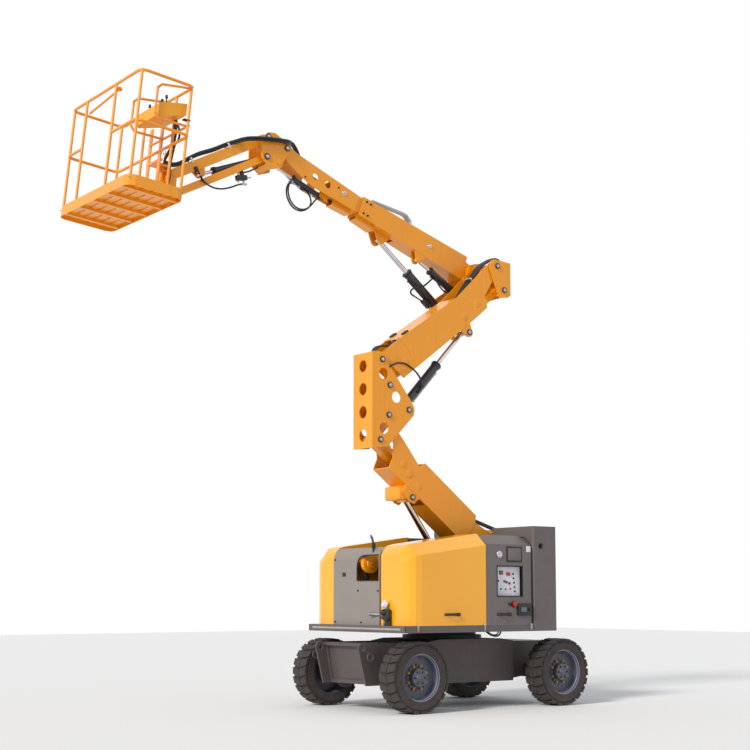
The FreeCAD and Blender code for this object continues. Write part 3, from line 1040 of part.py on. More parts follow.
def jib_head():
    """Bracket at the front of the jib with the housing of the platform rotator."""
    shapes = []
    top = JIB_HEAD_TOP
    low = JIB_HEAD_LOW
    outline = [
        offset(top, (-40.0, 25.0)), offset(top, (0.0, 36.0)), offset(top, (50.0, 36.0)),
        offset(low, (52.0, -46.0)), offset(low, (-20.0, -46.0)), offset(low, (-42.0, 0.0)),
    ]
    for side in (-1.0, 1.0):
        a, b = sorted((BOOM_Y + side * 90.0, BOOM_Y + side * 102.0))
        shapes.append(prism_y(outline, a, b))
        for point in (top, low):
            c, d = sorted((BOOM_Y + side * 102.0, BOOM_Y + side * 112.0))
            shapes.append(pin_y(point, 28.0, c, d))
    for point in (top, low):
        shapes.append(pin_y(point, PIN_RADIUS, BOOM_Y - 102.0, BOOM_Y + 102.0))
    shapes.append(prism_y([offset(top, (44.0, 36.0)), offset(top, (56.0, 36.0)), offset(low, (58.0, -46.0)),
                           offset(low, (46.0, -46.0))], BOOM_Y - 102.0, BOOM_Y + 102.0))
    start = platform_line.at(-ROTATOR_BACK, ROTATOR_LOW)
    neck = platform_line.at(-ROTATOR_BACK, ROTATOR_NECK)
    end = platform_line.at(-ROTATOR_BACK, ROTATOR_HIGH)
    shapes.append(bar(Vector(start[0], BOOM_Y, start[1]), Vector(neck[0], BOOM_Y, neck[1]), ROTATOR_RADIUS))
    shapes.append(bar(Vector(neck[0], BOOM_Y, neck[1]), Vector(end[0], BOOM_Y, end[1]), ROTATOR_NECK_RADIUS))
    return joined(shapes)


ROTATOR_LOW = 190.0
ROTATOR_NECK = 400.0
ROTATOR_NECK_RADIUS = 30.0
ROTATOR_HIGH = 545.0
MOUNT_PLATE = 22.0


def in_platform(shape):
    """From platform axes (origin at the rear lower edge of the floor, centre) to the machine's."""
    placed = shape.copy()
    placed.rotate(Vector(0, 0, 0), Vector(0, 1, 0), -PLATFORM_TILT)
    placed.translate(Vector(PLATFORM_REAR[0], BOOM_Y, PLATFORM_REAR[1]))
    return placed


def rail(points, radius=RAIL_RADIUS):
    shapes = [bar(Vector(*a), Vector(*b), radius) for a, b in zip(points, points[1:])]
    shapes += [Part.makeSphere(radius, Vector(*p)) for p in points]
    return shapes


POST_LOW = 43.0
MIDDLE_RAIL = 645.0
RAIL_BEND = 60.0
REAR_POSTS = [-230.0, 405.0]
REAR_UPRIGHTS = [-63.0, 165.0]
FRONT_POSTS = [-405.0, 234.0]
HOOPS = [205.0, 697.0]
FLOOR_SLATS = 6
CROSS_BEAMS = 5


def prism_z(outline, z0, z1):
    """An outline of (x, y) points made into a plate from z0 to z1."""
    points = [Vector(x, y, z0) for x, y in outline]
    face = Part.Face(Part.makePolygon(points + points[:1]))
    return face.extrude(Vector(0, 0, z1 - z0))


def basket_ring(inset):
    """Outline (x, y) of the basket with its bent corners, drawn in from the outside by inset."""
    half = PLATFORM_WIDTH / 2.0 - inset
    bend = RAIL_BEND + RAIL_INSET - inset
    near = bend * (1.0 - math.sqrt(0.5))
    ring = []
    for x, sx, sy in ((inset, 1.0, -1.0), (PLATFORM_DEPTH - inset, -1.0, -1.0),
                      (PLATFORM_DEPTH - inset, -1.0, 1.0), (inset, 1.0, 1.0)):
        y = half * sy
        corner = [(x, y - sy * bend), (x + sx * near, y - sy * near), (x + sx * bend, y)]
        ring += corner if sx * sy < 0 else corner[::-1]
    return ring


def platform():
    depth = PLATFORM_DEPTH
    y0 = -PLATFORM_WIDTH / 2.0
    rear_x = RAIL_INSET
    front_x = depth - RAIL_INSET
    floor_plate = prism_z(basket_ring(4.0), 40.0, 46.0)
    toe = prism_z(basket_ring(0.0), 0.0, TOE_HEIGHT).cut(prism_z(basket_ring(4.0), -1.0, TOE_HEIGHT + 1.0))
    shapes = [floor_plate, toe]
    for index in range(CROSS_BEAMS):
        y = y0 + (index + 0.5) * PLATFORM_WIDTH / CROSS_BEAMS
        shapes.append(box(3.0, depth - 3.0, y - 20.0, y + 20.0, 8.0, 40.0))
    pitch = (depth - 30.0) / FLOOR_SLATS
    for index in range(FLOOR_SLATS):
        x = 15.0 + (index + 0.5) * pitch
        shapes.append(box(x - 30.0, x + 30.0, y0 + 30.0, -y0 - 30.0, 32.0, 40.0))
    ring = basket_ring(RAIL_INSET)
    top = PLATFORM_HEIGHT - RAIL_RADIUS
    shapes += rail([(x, y, top) for x, y in ring + ring[:1]])
    corners = ring[1::3]
    posts = corners + [(front_x, y) for y in FRONT_POSTS] + [(rear_x, y) for y in REAR_POSTS]
    for x, y in posts:
        shapes.append(bar(Vector(x, y, POST_LOW), Vector(x, y, top), POST_RADIUS))
    entry = [(front_x, FRONT_POSTS[0]), (front_x, FRONT_POSTS[1])]
    run = entry[:1] + ring[5::-1] + ring[:5:-1] + entry[1:]
    shapes += rail([(x, y, MIDDLE_RAIL) for x, y in run])
    for y in REAR_UPRIGHTS:
        shapes.append(box(6.0, 20.0, y - 25.0, y + 25.0, POST_LOW, 930.0))
    shapes.append(bar(Vector(rear_x, REAR_UPRIGHTS[0], 755.0), Vector(rear_x, corners[3][1] - 8.0, 755.0), 12.0))
    for y in HOOPS:
        shapes += rail([(rear_x, y, 755.0), (335.0, y, 742.0), (375.0, y, 790.0), (372.0, y, 1040.0),
                        (330.0, y, 1085.0), (rear_x, y, top)], 12.0)
    for low in (ROTATOR_LOW - MOUNT_PLATE - 1.0, ROTATOR_HIGH + 1.0):
        shapes.append(box(-ROTATOR_BACK, 20.0, -66.0, 66.0, low, low + MOUNT_PLATE))
        shapes.append(box(-12.0, 20.0, REAR_UPRIGHTS[0] - 40.0, REAR_UPRIGHTS[1] + 25.0, low, low + MOUNT_PLATE))
        shapes.append(Part.makeCylinder(ROTATOR_RADIUS + 10.0, MOUNT_PLATE, Vector(-ROTATOR_BACK, 0, low)))
    x, y, z = GATE_PIVOT
    shapes.append(bar(Vector(x - GATE_RADIUS - 5.0, y, z), Vector(front_x, y, z), GATE_PIN_RADIUS))
    shapes.append(bar(Vector(x - GATE_RADIUS - 9.0, y, z), Vector(x - GATE_RADIUS - 1.0, y, z), 15.0))
    return in_platform(joined(shapes))


def platform_controls():
    """Control box in the left rear corner, its top and underside sloping down to the front."""
    rear = 4.0 + 2.0 * RAIL_RADIUS + SEAT_GAP
    outline = [(rear, 865.0), (300.0, 778.0), (327.0, 790.0), (327.0, 905.0), (290.0, 925.0), (rear, 985.0)]
    return in_platform(prism_y(outline, 225.0, 680.0))


GATE_PIVOT = (PLATFORM_DEPTH - 4.0 - 2.0 * RAIL_RADIUS - 20.0, FRONT_POSTS[1], 1102.0)
GATE_RADIUS = 12.0
GATE_PIN_RADIUS = 8.0
GATE_EYE_RADIUS = 22.0
GATE_END_Y = FRONT_POSTS[0] + 4.0
GATE_END_Z = 1030.0


def drop_bar():
    """Bar across the entry, hinged at the upper end."""
    x, y, z = GATE_PIVOT
    pivot = Vector(x, y, z)
    end = Vector(x, GATE_END_Y, GATE_END_Z)
    run = end.sub(pivot).normalize()
    tube = bar(pivot.add(run * GATE_RADIUS), end, GATE_RADIUS)
    eye = bar(Vector(x - GATE_RADIUS, y, z), Vector(x + GATE_RADIUS, y, z), GATE_EYE_RADIUS)
    hole = bar(Vector(x - 50.0, y, z), Vector(x + 50.0, y, z), GATE_PIN_RADIUS + SEAT_GAP)
    return in_platform(joined([tube, eye]).cut(hole))


def build_nodes():
    nodes = {
        "chassis_frame": chassis(),
        "front_axle": front_axle(),
        "rear_axle": rear_axle(),
        "tie_rod": tie_rod(),
        "slew_ring": slew_ring(),
        "turret_base": base_plate(),
        "counterweight": counterweight(),
        "riser_tower": riser_tower(),
        "engine_block": engine_block(),
        "hood_left": hood(TUNNEL_NEAR_Y, TURRET_HALF_WIDTH),
        "hood_right": hood(TUNNEL_FAR_Y, -TURRET_HALF_WIDTH),
        "rear_cover_left": control_cover(TUNNEL_NEAR_Y, TURRET_HALF_WIDTH, PANEL_WINDOW),
        "rear_cover_right": control_cover(TUNNEL_FAR_Y, -TURRET_HALF_WIDTH, None),
        "ground_controls": control_panel(),
        "front_cover": front_cover(),
        "lower_arm": lower_arm(),
        "lower_link": link(LOWER_LINK_FOOT, LOWER_LINK_TOP, "lower"),
        "mid_pivot": mid_pivot(),
        "upper_arm": upper_arm(),
        "upper_link": link(UPPER_LINK_FOOT, UPPER_LINK_TOP, "upper"),
        "upper_pivot": upper_pivot(),
        "boom_outer": boom_outer(),
        "boom_chain_guard": chain_guard(),
        "boom_inner": boom_inner(),
        "jib_base": jib_base(),
        "jib_upper_arm": jib_upper_arm(),
        "jib_lower_arm": jib_lower_arm(),
        "jib_head": jib_head(),
        "platform": platform(),
        "platform_controls": platform_controls(),
        "platform_drop_bar": drop_bar(),
    }
    for end, axle_x in (("front", FRONT_AXLE_X), ("rear", REAR_AXLE_X)):
        for name, side in (("left", 1.0), ("right", -1.0)):
            nodes["tyre_" + end + "_" + name] = tyre(side, axle_x)
            nodes["rim_" + end + "_" + name] = rim(side, axle_x)
    for name, side in (("left", 1.0), ("right", -1.0)):
        nodes["knuckle_" + name] = knuckle(side)
    for name in CYLINDERS:
        nodes[name + "_barrel"] = cylinder_barrel(name)
        nodes[name + "_rod"] = cylinder_rod(name)
    return nodes


def place_on_floor_centre(nodes):
    """Moves all shapes so that the origin is on the floor under the middle of the whole machine."""
    bounds = FreeCAD.BoundBox()
    for shape in nodes.values():
        bounds.add(shape.BoundBox)
    move = Vector(-(bounds.XMin + bounds.XMax) / 2.0, -(bounds.YMin + bounds.YMax) / 2.0, -bounds.ZMin)
    for shape in nodes.values():
        shape.translate(move)
    return move


nodes = build_nodes()
FRAME_SHIFT = place_on_floor_centre(nodes)
os.makedirs("parts", exist_ok=True)
for name, shape in nodes.items():
    shape.exportStep(os.path.join("parts", name + ".step"))
print("nodes", len(nodes), "frame shift", round(FRAME_SHIFT.x, 3), round(FRAME_SHIFT.y, 3))
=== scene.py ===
# %% [markdown]
# An articulating boom lift: four wheels, a slewing turret under hinged covers, two risers that fold
# like a Z, a telescopic main boom beside them, a jib, and a railed platform. The rigid shapes come from
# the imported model, which is loaded first and never moved. This file gives them a camera, light, paint
# and the small things that a solid model leaves out: hoses, latches, seals, levers and fasteners.

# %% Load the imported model
import bpy
import json
import math
from mathutils import Matrix, Vector


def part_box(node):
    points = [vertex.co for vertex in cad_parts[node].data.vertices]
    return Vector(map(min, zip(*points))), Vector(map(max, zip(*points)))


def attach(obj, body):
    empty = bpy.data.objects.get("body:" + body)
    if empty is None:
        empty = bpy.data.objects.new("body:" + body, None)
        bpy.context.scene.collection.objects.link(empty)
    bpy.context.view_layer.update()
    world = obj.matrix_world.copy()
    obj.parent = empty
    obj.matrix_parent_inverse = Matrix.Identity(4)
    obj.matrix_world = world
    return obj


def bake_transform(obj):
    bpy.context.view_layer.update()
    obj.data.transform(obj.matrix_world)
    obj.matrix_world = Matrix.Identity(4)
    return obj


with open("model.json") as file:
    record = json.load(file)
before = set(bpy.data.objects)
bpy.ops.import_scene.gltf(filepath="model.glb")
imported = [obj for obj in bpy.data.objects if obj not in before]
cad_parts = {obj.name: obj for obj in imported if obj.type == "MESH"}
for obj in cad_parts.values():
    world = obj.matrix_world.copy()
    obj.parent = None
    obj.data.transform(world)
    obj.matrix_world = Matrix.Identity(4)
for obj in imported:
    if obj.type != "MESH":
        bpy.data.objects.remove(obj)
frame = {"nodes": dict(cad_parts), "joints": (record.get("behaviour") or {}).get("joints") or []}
nodes = frame["nodes"]
joints = {joint["name"]: joint for joint in frame["joints"]}
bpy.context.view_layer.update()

# %% [markdown]
# Places on a machine are easiest to give from its own middle: the slewing axis at the floor, with X
# forward, Y to the left and Z up. The model's origin is somewhere else, under the middle of its whole
# box, so one small function carries a place from the machine's axes to the model's. All lengths are in
# metres.

# %% Places on the machine
SLEW_HEIGHT = 0.76
slew = Vector(joints["turret_slew"]["pos_m"])


def at(x, y, z):
    """A place in metres from the slewing axis at the floor, in the model's axes."""
    return Vector((x + slew.x, y + slew.y, z + slew.z - SLEW_HEIGHT))


def joint_at(name):
    """The pivot of a joint, in the model's axes."""
    return Vector(joints[name]["pos_m"])


print("slewing axis at", round(slew.x, 3), round(slew.y, 3))

# %% [markdown]
# Arms and booms slope, so what sits on them is placed along them: s runs along the arm from its pivot,
# n stands square to its upper side, and y goes across the machine from the arm's middle plane. The
# platform has axes of its own, which start at the rear lower edge of its floor.

# %% Places along the arms and on the platform


class Member:
    """A straight arm: its pivot, its slope in degrees, and which side counts as its upper one."""

    def __init__(self, pivot, degrees, flip=1.0):
        slope = math.radians(degrees)
        self.pivot = pivot
        self.degrees = degrees
        self.along = Vector((math.cos(slope), 0.0, math.sin(slope)))
        self.up = Vector((-math.sin(slope), 0.0, math.cos(slope))) * flip

    def at(self, s, n=0.0, y=0.0):
        return self.pivot + self.along * s + self.up * n + Vector((0.0, y, 0.0))


LOWER_ARM_SLOPE = 217.0
UPPER_ARM_SLOPE = 143.0
BOOM_SLOPE = 18.7
JIB_SLOPE = -28.2
lower_arm = Member(joint_at("mid_pivot_level"), LOWER_ARM_SLOPE, -1.0)
upper_arm = Member(joint_at("upper_lift"), UPPER_ARM_SLOPE, -1.0)
boom = Member(joint_at("boom_lift"), BOOM_SLOPE)
jib = Member(joint_at("jib_lift"), JIB_SLOPE)

DECK_TILT = 5.9
ROTATOR_BACK = 0.110
ROTATOR_MARK = 0.300
deck = Member(joint_at("platform_rotate"), DECK_TILT)
deck.pivot = deck.at(ROTATOR_BACK, -ROTATOR_MARK)
print("boom pivot", [round(v, 3) for v in boom.pivot], "deck corner", [round(v, 3) for v in deck.pivot])

# %% [markdown]
# The photograph was taken from a little over one metre above the floor, sixteen metres away, with a
# long lens. Its upright edges stay upright, as in a photograph of a building, which comes from a level
# camera with its frame shifted up. A part of that shift is given as a slight upward pitch here, so that
# other views of the machine, which keep the shift, have it whole in the picture.

# %% Camera
CAMERA_HEADING = 143.291
CAMERA_PITCH = 5.817
CAMERA_LENS = 69.17
CAMERA_SHIFT = 0.10
CAMERA_PLACE = at(10.064, 12.279, 1.166)
camera_data = bpy.data.cameras.new("photo_camera")
camera_data.sensor_width = 36.0
camera_data.lens = CAMERA_LENS
camera_data.shift_y = CAMERA_SHIFT
camera = bpy.data.objects.new("photo_camera", camera_data)
bpy.context.scene.collection.objects.link(camera)
camera.location = CAMERA_PLACE
camera.rotation_euler = (math.radians(90.0 + CAMERA_PITCH), 0.0, math.radians(CAMERA_HEADING))
camera_data.clip_end = 200.0
bpy.context.scene.camera = camera
print("camera at", [round(v, 3) for v in camera.location])

# %% [markdown]
# A finish is a small net of nodes. One helper adds any node, with its settings, its fixed values and
# what is plugged into it, so that each net reads as a list from the pattern to the shader. Colours are
# written as they look on a screen and turned into the linear values that the shader wants.

# %% Helpers for colours and nodes


def linear(hex_code):
    """A colour written as on a screen, such as F5A800, as linear red, green, blue and one."""
    values = []
    for start in (0, 2, 4):
        channel = int(hex_code[start:start + 2], 16) / 255.0
        values.append(channel / 12.92 if channel <= 0.04045 else ((channel + 0.055) / 1.055) ** 2.4)
    return (*values, 1.0)


def add_node(tree, kind, settings, plugs):
    """Adds a node, gives it its settings and values, and plugs other nodes' sockets into its own."""
    node = tree.nodes.new(kind)
    for name, value in settings.items():
        if isinstance(name, str) and hasattr(node, name):
            setattr(node, name, value)
        else:
            node.inputs[name].default_value = value
    for name, socket in plugs.items():
        tree.links.new(socket, node.inputs[name])
    return node


# %% [markdown]
# The light is that of a pale studio: an even sky that fills every shadow a little, and one broad sun
# from the front left that gives the sheet metal its light and dark sides. The floor is pale and plain.
# What the camera sees behind the machine is white, and so is what chrome mirrors, but that white adds
# no light to the machine.

# %% World, sun and floor
SKY_STRENGTH = 0.55
SUN_STRENGTH = 2.4
SUN_SPREAD = 12.0
SUN_WAY = Vector((-0.80, -0.22, -0.56))
FLOOR_SIZE = 60.0
scene = bpy.context.scene
scene.view_settings.view_transform = "Standard"
world = bpy.data.worlds.new("studio_sky")
scene.world = world
world.use_nodes = True
sky = world.node_tree
sky.nodes.clear()
ray = add_node(sky, "ShaderNodeLightPath", {}, {})
seen_or_through = add_node(sky, "ShaderNodeMath", {"operation": "MAXIMUM"}, {
    0: ray.outputs["Is Camera Ray"], 1: ray.outputs["Is Transmission Ray"]})
white_seen = add_node(sky, "ShaderNodeMath", {"operation": "MAXIMUM"}, {
    0: seen_or_through.outputs[0], 1: ray.outputs["Is Glossy Ray"]})
light = add_node(sky, "ShaderNodeBackground", {
    "Color": (0.93, 0.96, 1.0, 1.0), "Strength": SKY_STRENGTH}, {})
backdrop = add_node(sky, "ShaderNodeBackground", {"Color": (1.0, 1.0, 1.0, 1.0), "Strength": 1.0}, {})
sky_mix = add_node(sky, "ShaderNodeMixShader", {}, {
    0: white_seen.outputs[0], 1: light.outputs[0], 2: backdrop.outputs[0]})
add_node(sky, "ShaderNodeOutputWorld", {}, {"Surface": sky_mix.outputs[0]})

sun_data = bpy.data.lights.new("studio_sun", "SUN")
sun_data.energy = SUN_STRENGTH
sun_data.angle = math.radians(SUN_SPREAD)
sun_data.color = (1.0, 0.97, 0.92)
sun = bpy.data.objects.new("studio_sun", sun_data)
scene.collection.objects.link(sun)
sun.rotation_euler = SUN_WAY.to_track_quat("-Z", "Y").to_euler()

bpy.ops.object.select_all(action="DESELECT")
bpy.ops.mesh.primitive_plane_add(size=FLOOR_SIZE, location=(0.0, 0.0, -0.001))
floor = bpy.context.object
floor.name = "studio_floor"
floor_finish = bpy.data.materials.new("studio_floor_white")
floor_finish.use_nodes = True
shader = floor_finish.node_tree.nodes["Principled BSDF"]
shader.inputs["Base Color"].default_value = (0.86, 0.86, 0.86, 1.0)
shader.inputs["Roughness"].default_value = 0.9
floor.data.materials.append(floor_finish)
print("floor, sky and sun made")

# %% [markdown]
# The finishes below share three steps. A new material starts from the place on the piece, in the
# model's own axes, so that its pattern stays where it is. Two colours are mixed in patches. At the end,
# the colour, a roughness that follows some pattern, and a bump of some height go into the shader.

# %% Steps that all finishes share


def new_finish(name):
    """A new material, its net, its shader, and the place that all its patterns are drawn at."""
    material = bpy.data.materials.new(name)
    material.use_nodes = True
    tree = material.node_tree
    place = add_node(tree, "ShaderNodeTexCoord", {}, {}).outputs["Object"]
    return material, tree, tree.nodes["Principled BSDF"], place


def mix_in_patches(tree, place, colour, second, noise, span, share):
    """The mix of two colours, and the patches it follows; span is where in the noise the second starts."""
    patches = add_node(tree, "ShaderNodeTexNoise", noise, {"Vector": place}).outputs["Fac"]
    spread = add_node(tree, "ShaderNodeMapRange", {
        "From Min": span[0], "From Max": span[1], "To Max": share}, {"Value": patches})
    mixed = add_node(tree, "ShaderNodeMix", {
        "data_type": "RGBA", "A": linear(colour), "B": linear(second)}, {"Factor": spread.outputs["Result"]})
    return mixed.outputs["Result"], patches


def plug_in(tree, shader, colour, pattern, gloss, height, strength, depth):
    """Colour, a roughness between the two values of gloss, and a bump that is depth metres deep."""
    roughness = add_node(tree, "ShaderNodeMapRange", {"To Min": gloss[0], "To Max": gloss[1]},
                         {"Value": pattern})
    bumps = add_node(tree, "ShaderNodeBump", {"Strength": strength, "Distance": depth}, {"Height": height})
    tree.links.new(colour, shader.inputs["Base Color"])
    tree.links.new(roughness.outputs["Result"], shader.inputs["Roughness"])
    tree.links.new(bumps.outputs["Normal"], shader.inputs["Normal"])


print("steps of a finish ready")

# %% [markdown]
# The boom, the arms, the rails and the frame are steel plate sprayed with enamel. Sprayed enamel has
# orange peel, soft bumps a few millimetres wide, which break up its highlights. On large plates it
# fades and gathers dust in broad patches, and rain leaves faint streaks that run down. The real peel is
# about 3 mm wide, too fine to show from sixteen metres, so it is drawn 15 mm wide.

# %% Sprayed enamel on steel
ORANGE_PEEL = 0.015
PATCH = 0.55
STREAK = 0.05


def sprayed_enamel(name, colour, faded, streaked, rough, coat=0.3, fade=0.5):
    """Gloss or satin enamel on steel plate: broad faded patches, faint streaks, and orange peel."""
    material, tree, shader, place = new_finish(name)
    shader.inputs["Coat Weight"].default_value = coat
    shader.inputs["Coat Roughness"].default_value = 0.15
    paint, patches = mix_in_patches(
        tree, place, colour, faded, {"Scale": 1.0 / PATCH, "Detail": 5.0, "Roughness": 0.62}, (0.38, 0.72),
        fade)
    drawn_down = add_node(tree, "ShaderNodeMapping", {"Scale": (1.0 / STREAK, 1.0 / STREAK, 0.9)}, {
        "Vector": place})
    streaks = add_node(tree, "ShaderNodeTexNoise", {"Scale": 1.0, "Detail": 3.0}, {
        "Vector": drawn_down.outputs["Vector"]})
    streak_share = add_node(tree, "ShaderNodeMapRange", {
        "From Min": 0.56, "From Max": 0.76, "To Max": 0.30}, {"Value": streaks.outputs["Fac"]})
    streaky = add_node(tree, "ShaderNodeMix", {"data_type": "RGBA", "B": linear(streaked)}, {
        "Factor": streak_share.outputs["Result"], "A": paint})
    peel = add_node(tree, "ShaderNodeTexNoise", {"Scale": 1.0 / ORANGE_PEEL, "Detail": 1.0},
                    {"Vector": place})
    plug_in(tree, shader, streaky.outputs["Result"], patches, (max(rough - 0.09, 0.05), rough + 0.12),
            peel.outputs["Fac"], 0.10, 0.0012)
    return material


# The booms and arms: warm yellow-orange gloss enamel, a little paler where the sun has chalked it.
boom_enamel = sprayed_enamel("boom_gloss_enamel", "F29900", "F6A406", "DA8402", 0.34)
# The basket's tubes: the same maker's orange, sprayed thinner, redder in the shade.
rail_enamel = sprayed_enamel("rail_tube_enamel", "F59A06", "F6A51C", "DF8006", 0.36)
# The chassis: satin grey-brown enamel, dulled by road dust.
chassis_enamel = sprayed_enamel("chassis_satin_enamel", "504848", "5E5653", "453D3C", 0.55, 0.05, 0.7)
# The turntable: the same satin grey, one shade lighter.
table_enamel = sprayed_enamel("turntable_satin_enamel", "5C5453", "6A6260", "4E4645", 0.52, 0.05, 0.6)
# The rims: slate blue-grey satin enamel.
rim_enamel = sprayed_enamel("rim_satin_enamel", "4D5060", "5B5E6B", "42444F", 0.42, 0.15, 0.5)
# The cylinders' barrels: black gloss enamel, its faint blue tint a painted reflection of the sky.
barrel_enamel_painted_sky = sprayed_enamel("barrel_black_enamel_painted_sky", "23232A", "2E2E36", "1B1B20", 0.34, 0.35, 0.4)
# The guard over the cables: pale blue-grey enamel on thin sheet.
guard_enamel = sprayed_enamel("guard_pale_enamel", "AEC0D2", "BECDDB", "97A9BC", 0.40, 0.2, 0.5)
print("enamels", len(bpy.data.materials))

# %% [markdown]
# The two yellow hoods are glass-fibre mouldings with a gelcoat: a smooth, deep gloss, with a long, very
# shallow waviness that a moulding has and a rolled sheet doesn't. The waves are about 120 mm long.

# %% Gelcoat on the hoods
WAVE = 0.12
hood_gelcoat, tree, shader, place = new_finish("hood_yellow_gelcoat")
shader.inputs["Coat Weight"].default_value = 0.7
shader.inputs["Coat Roughness"].default_value = 0.06
colour, patches = mix_in_patches(
    tree, place, "FBAF00", "F3A203", {"Scale": 1.3, "Detail": 4.0}, (0.4, 0.7), 0.5)
waves = add_node(tree, "ShaderNodeTexNoise", {"Scale": 1.0 / WAVE, "Detail": 0.0}, {"Vector": place})
plug_in(tree, shader, colour, patches, (0.22, 0.42), waves.outputs["Fac"], 0.12, 0.004)
print("gelcoat made")

# %% [markdown]
# The grey covers, the panels and the black fittings are moulded plastic. A mould for such covers is
# etched with a fine leather-like grain, which scatters the light and hides scratches. The real grain
# is under a millimetre; it is drawn 6 mm wide so that the surface still looks dull and lively. Rubber
# seals and hoses are made the same way, with a finer grain and a darker colour.

# %% Grained plastic and rubber


def grained_plastic(name, colour, second, grain, rough, depth=0.0008, patch=0.7, share=0.55):
    """Moulded plastic or rubber with an etched grain, grain metres wide, and a slightly uneven colour."""
    material, tree, shader, place = new_finish(name)
    colours, patches = mix_in_patches(
        tree, place, colour, second, {"Scale": 1.0 / patch, "Detail": 6.0, "Roughness": 0.65}, (0.35, 0.7),
        share)
    cells = add_node(tree, "ShaderNodeTexVoronoi", {"Scale": 1.0 / grain}, {"Vector": place})
    plug_in(tree, shader, colours, patches, (max(rough - 0.08, 0.05), rough + 0.08),
            cells.outputs["Distance"], 0.25, depth)
    return material


# Rear covers: warm mid-grey polyethylene, dull, with a soft sheen at a low angle.
cover_plastic = grained_plastic("rear_cover_polyethylene", "6E6766", "625B5B", 0.006, 0.5)
# Front cover: the same plastic in a paler, warmer grey.
front_plastic = grained_plastic("front_cover_polyethylene", "8E8681", "827A75", 0.006, 0.52)
# Black fittings: glass-filled nylon.
black_nylon = grained_plastic("black_nylon", "1D1B1D", "2A282A", 0.004, 0.48, 0.0005, 0.15)
# Seals and edge trims: soft black rubber.
seal_rubber = grained_plastic("seal_rubber", "19181A", "262426", 0.004, 0.62, 0.0005, 0.2)
# Hoses: smooth synthetic rubber over a wire braid, with a slight shine on the crest.
hose_rubber = grained_plastic("hose_rubber", "17171A", "25252A", 0.005, 0.40, 0.0006, 0.25)
# The control panels: off-white coated sheet.
panel_sheet = grained_plastic("panel_off_white", "E1DEE6", "D0CDD6", 0.005, 0.42, 0.0003, 0.2)
# The platform's control box: moulded yellow plastic.
box_plastic = grained_plastic("control_box_plastic", "F6AC2C", "E99A1C", 0.006, 0.42, 0.0006, 0.3)
# Small coloured parts: switch caps and lamps, smooth and a little shiny, and a smoked window.
switch_red = grained_plastic("switch_red", "C9221E", "A81814", 0.004, 0.30, 0.0002, 0.05)
switch_green = grained_plastic("switch_green", "2F8F72", "236E58", 0.004, 0.30, 0.0002, 0.05)
lens_grey = grained_plastic("window_smoked", "6A6670", "5B5861", 0.005, 0.18, 0.0001, 0.2)
print("plastics and rubbers made, finishes", len(bpy.data.materials))

# %% [markdown]
# The counterweight is a sand casting under a thick filler paint. Casting sand leaves a lumpy skin with
# grains of 2 to 3 mm and shallow hollows some 40 mm wide. The grains are drawn 12 mm wide.

# %% Painted sand casting
SAND_GRAIN = 0.012
HOLLOW = 0.06
cast_paint, tree, shader, place = new_finish("counterweight_painted_casting")
hollows = add_node(tree, "ShaderNodeTexNoise", {"Scale": 1.0 / HOLLOW, "Detail": 4.0}, {"Vector": place})
grains = add_node(tree, "ShaderNodeTexNoise", {"Scale": 1.0 / SAND_GRAIN, "Detail": 2.0}, {"Vector": place})
colour, _ = mix_in_patches(
    tree, place, "6C6564", "5C5554", {"Scale": 1.5, "Detail": 5.0}, (0.35, 0.7), 0.7)
relief = add_node(tree, "ShaderNodeMath", {"operation": "MULTIPLY_ADD", 1: 2.5}, {
    0: hollows.outputs["Fac"], 2: grains.outputs["Fac"]})
plug_in(tree, shader, colour, hollows.outputs["Fac"], (0.5, 0.72), relief.outputs[0], 0.35, 0.0015)
print("casting made")

# %% [markdown]
# Tyres are moulded rubber, dusty where they have touched the ground. The dust lies in patches, thicker
# near the floor, so the share of dust is a noise plus the height over the floor. The rubber itself is
# brown-black and hardly shines. Its fine grain is drawn 7 mm wide.

# %% Dusty tyre rubber
RUBBER_GRAIN = 1.0 / 140.0
tyre_rubber, tree, shader, place = new_finish("tyre_moulded_rubber")
height = add_node(tree, "ShaderNodeSeparateXYZ", {}, {"Vector": place})
low_down = add_node(tree, "ShaderNodeMapRange", {"From Max": 0.8, "To Min": 0.35, "To Max": 0.0}, {
    "Value": height.outputs["Z"]})
patches = add_node(tree, "ShaderNodeTexNoise", {"Scale": 9.0, "Detail": 6.0, "Roughness": 0.7}, {
    "Vector": place})
dust = add_node(tree, "ShaderNodeMath", {"operation": "MULTIPLY_ADD", 1: 0.9}, {
    0: patches.outputs["Fac"], 2: low_down.outputs["Result"]})
dust_share = add_node(tree, "ShaderNodeMapRange", {"From Min": 0.42, "From Max": 0.95, "To Max": 0.75}, {
    "Value": dust.outputs[0]})
colour = add_node(tree, "ShaderNodeMix", {
    "data_type": "RGBA", "A": linear("2A2424"), "B": linear("57504C")},
    {"Factor": dust_share.outputs["Result"]})
grains = add_node(tree, "ShaderNodeTexNoise", {"Scale": 1.0 / RUBBER_GRAIN, "Detail": 3.0}, {"Vector": place})
plug_in(tree, shader, colour.outputs["Result"], dust.outputs[0], (0.62, 0.92), grains.outputs["Fac"], 0.4,
        0.0012)
print("tyre rubber made")

# %% [markdown]
# Bare metals come last: hard chrome on the rods, which is ground and hardly rough; zinc plating on nuts,
# pins and fittings, which is cloudy and a little yellow; and dark phosphated iron on pin heads. A metal's
# colour is its reflection, so its base colour is what it mirrors most. Its skin is drawn 4 mm wide.

# %% Bare metals
METAL_SKIN = 1.0 / 260.0


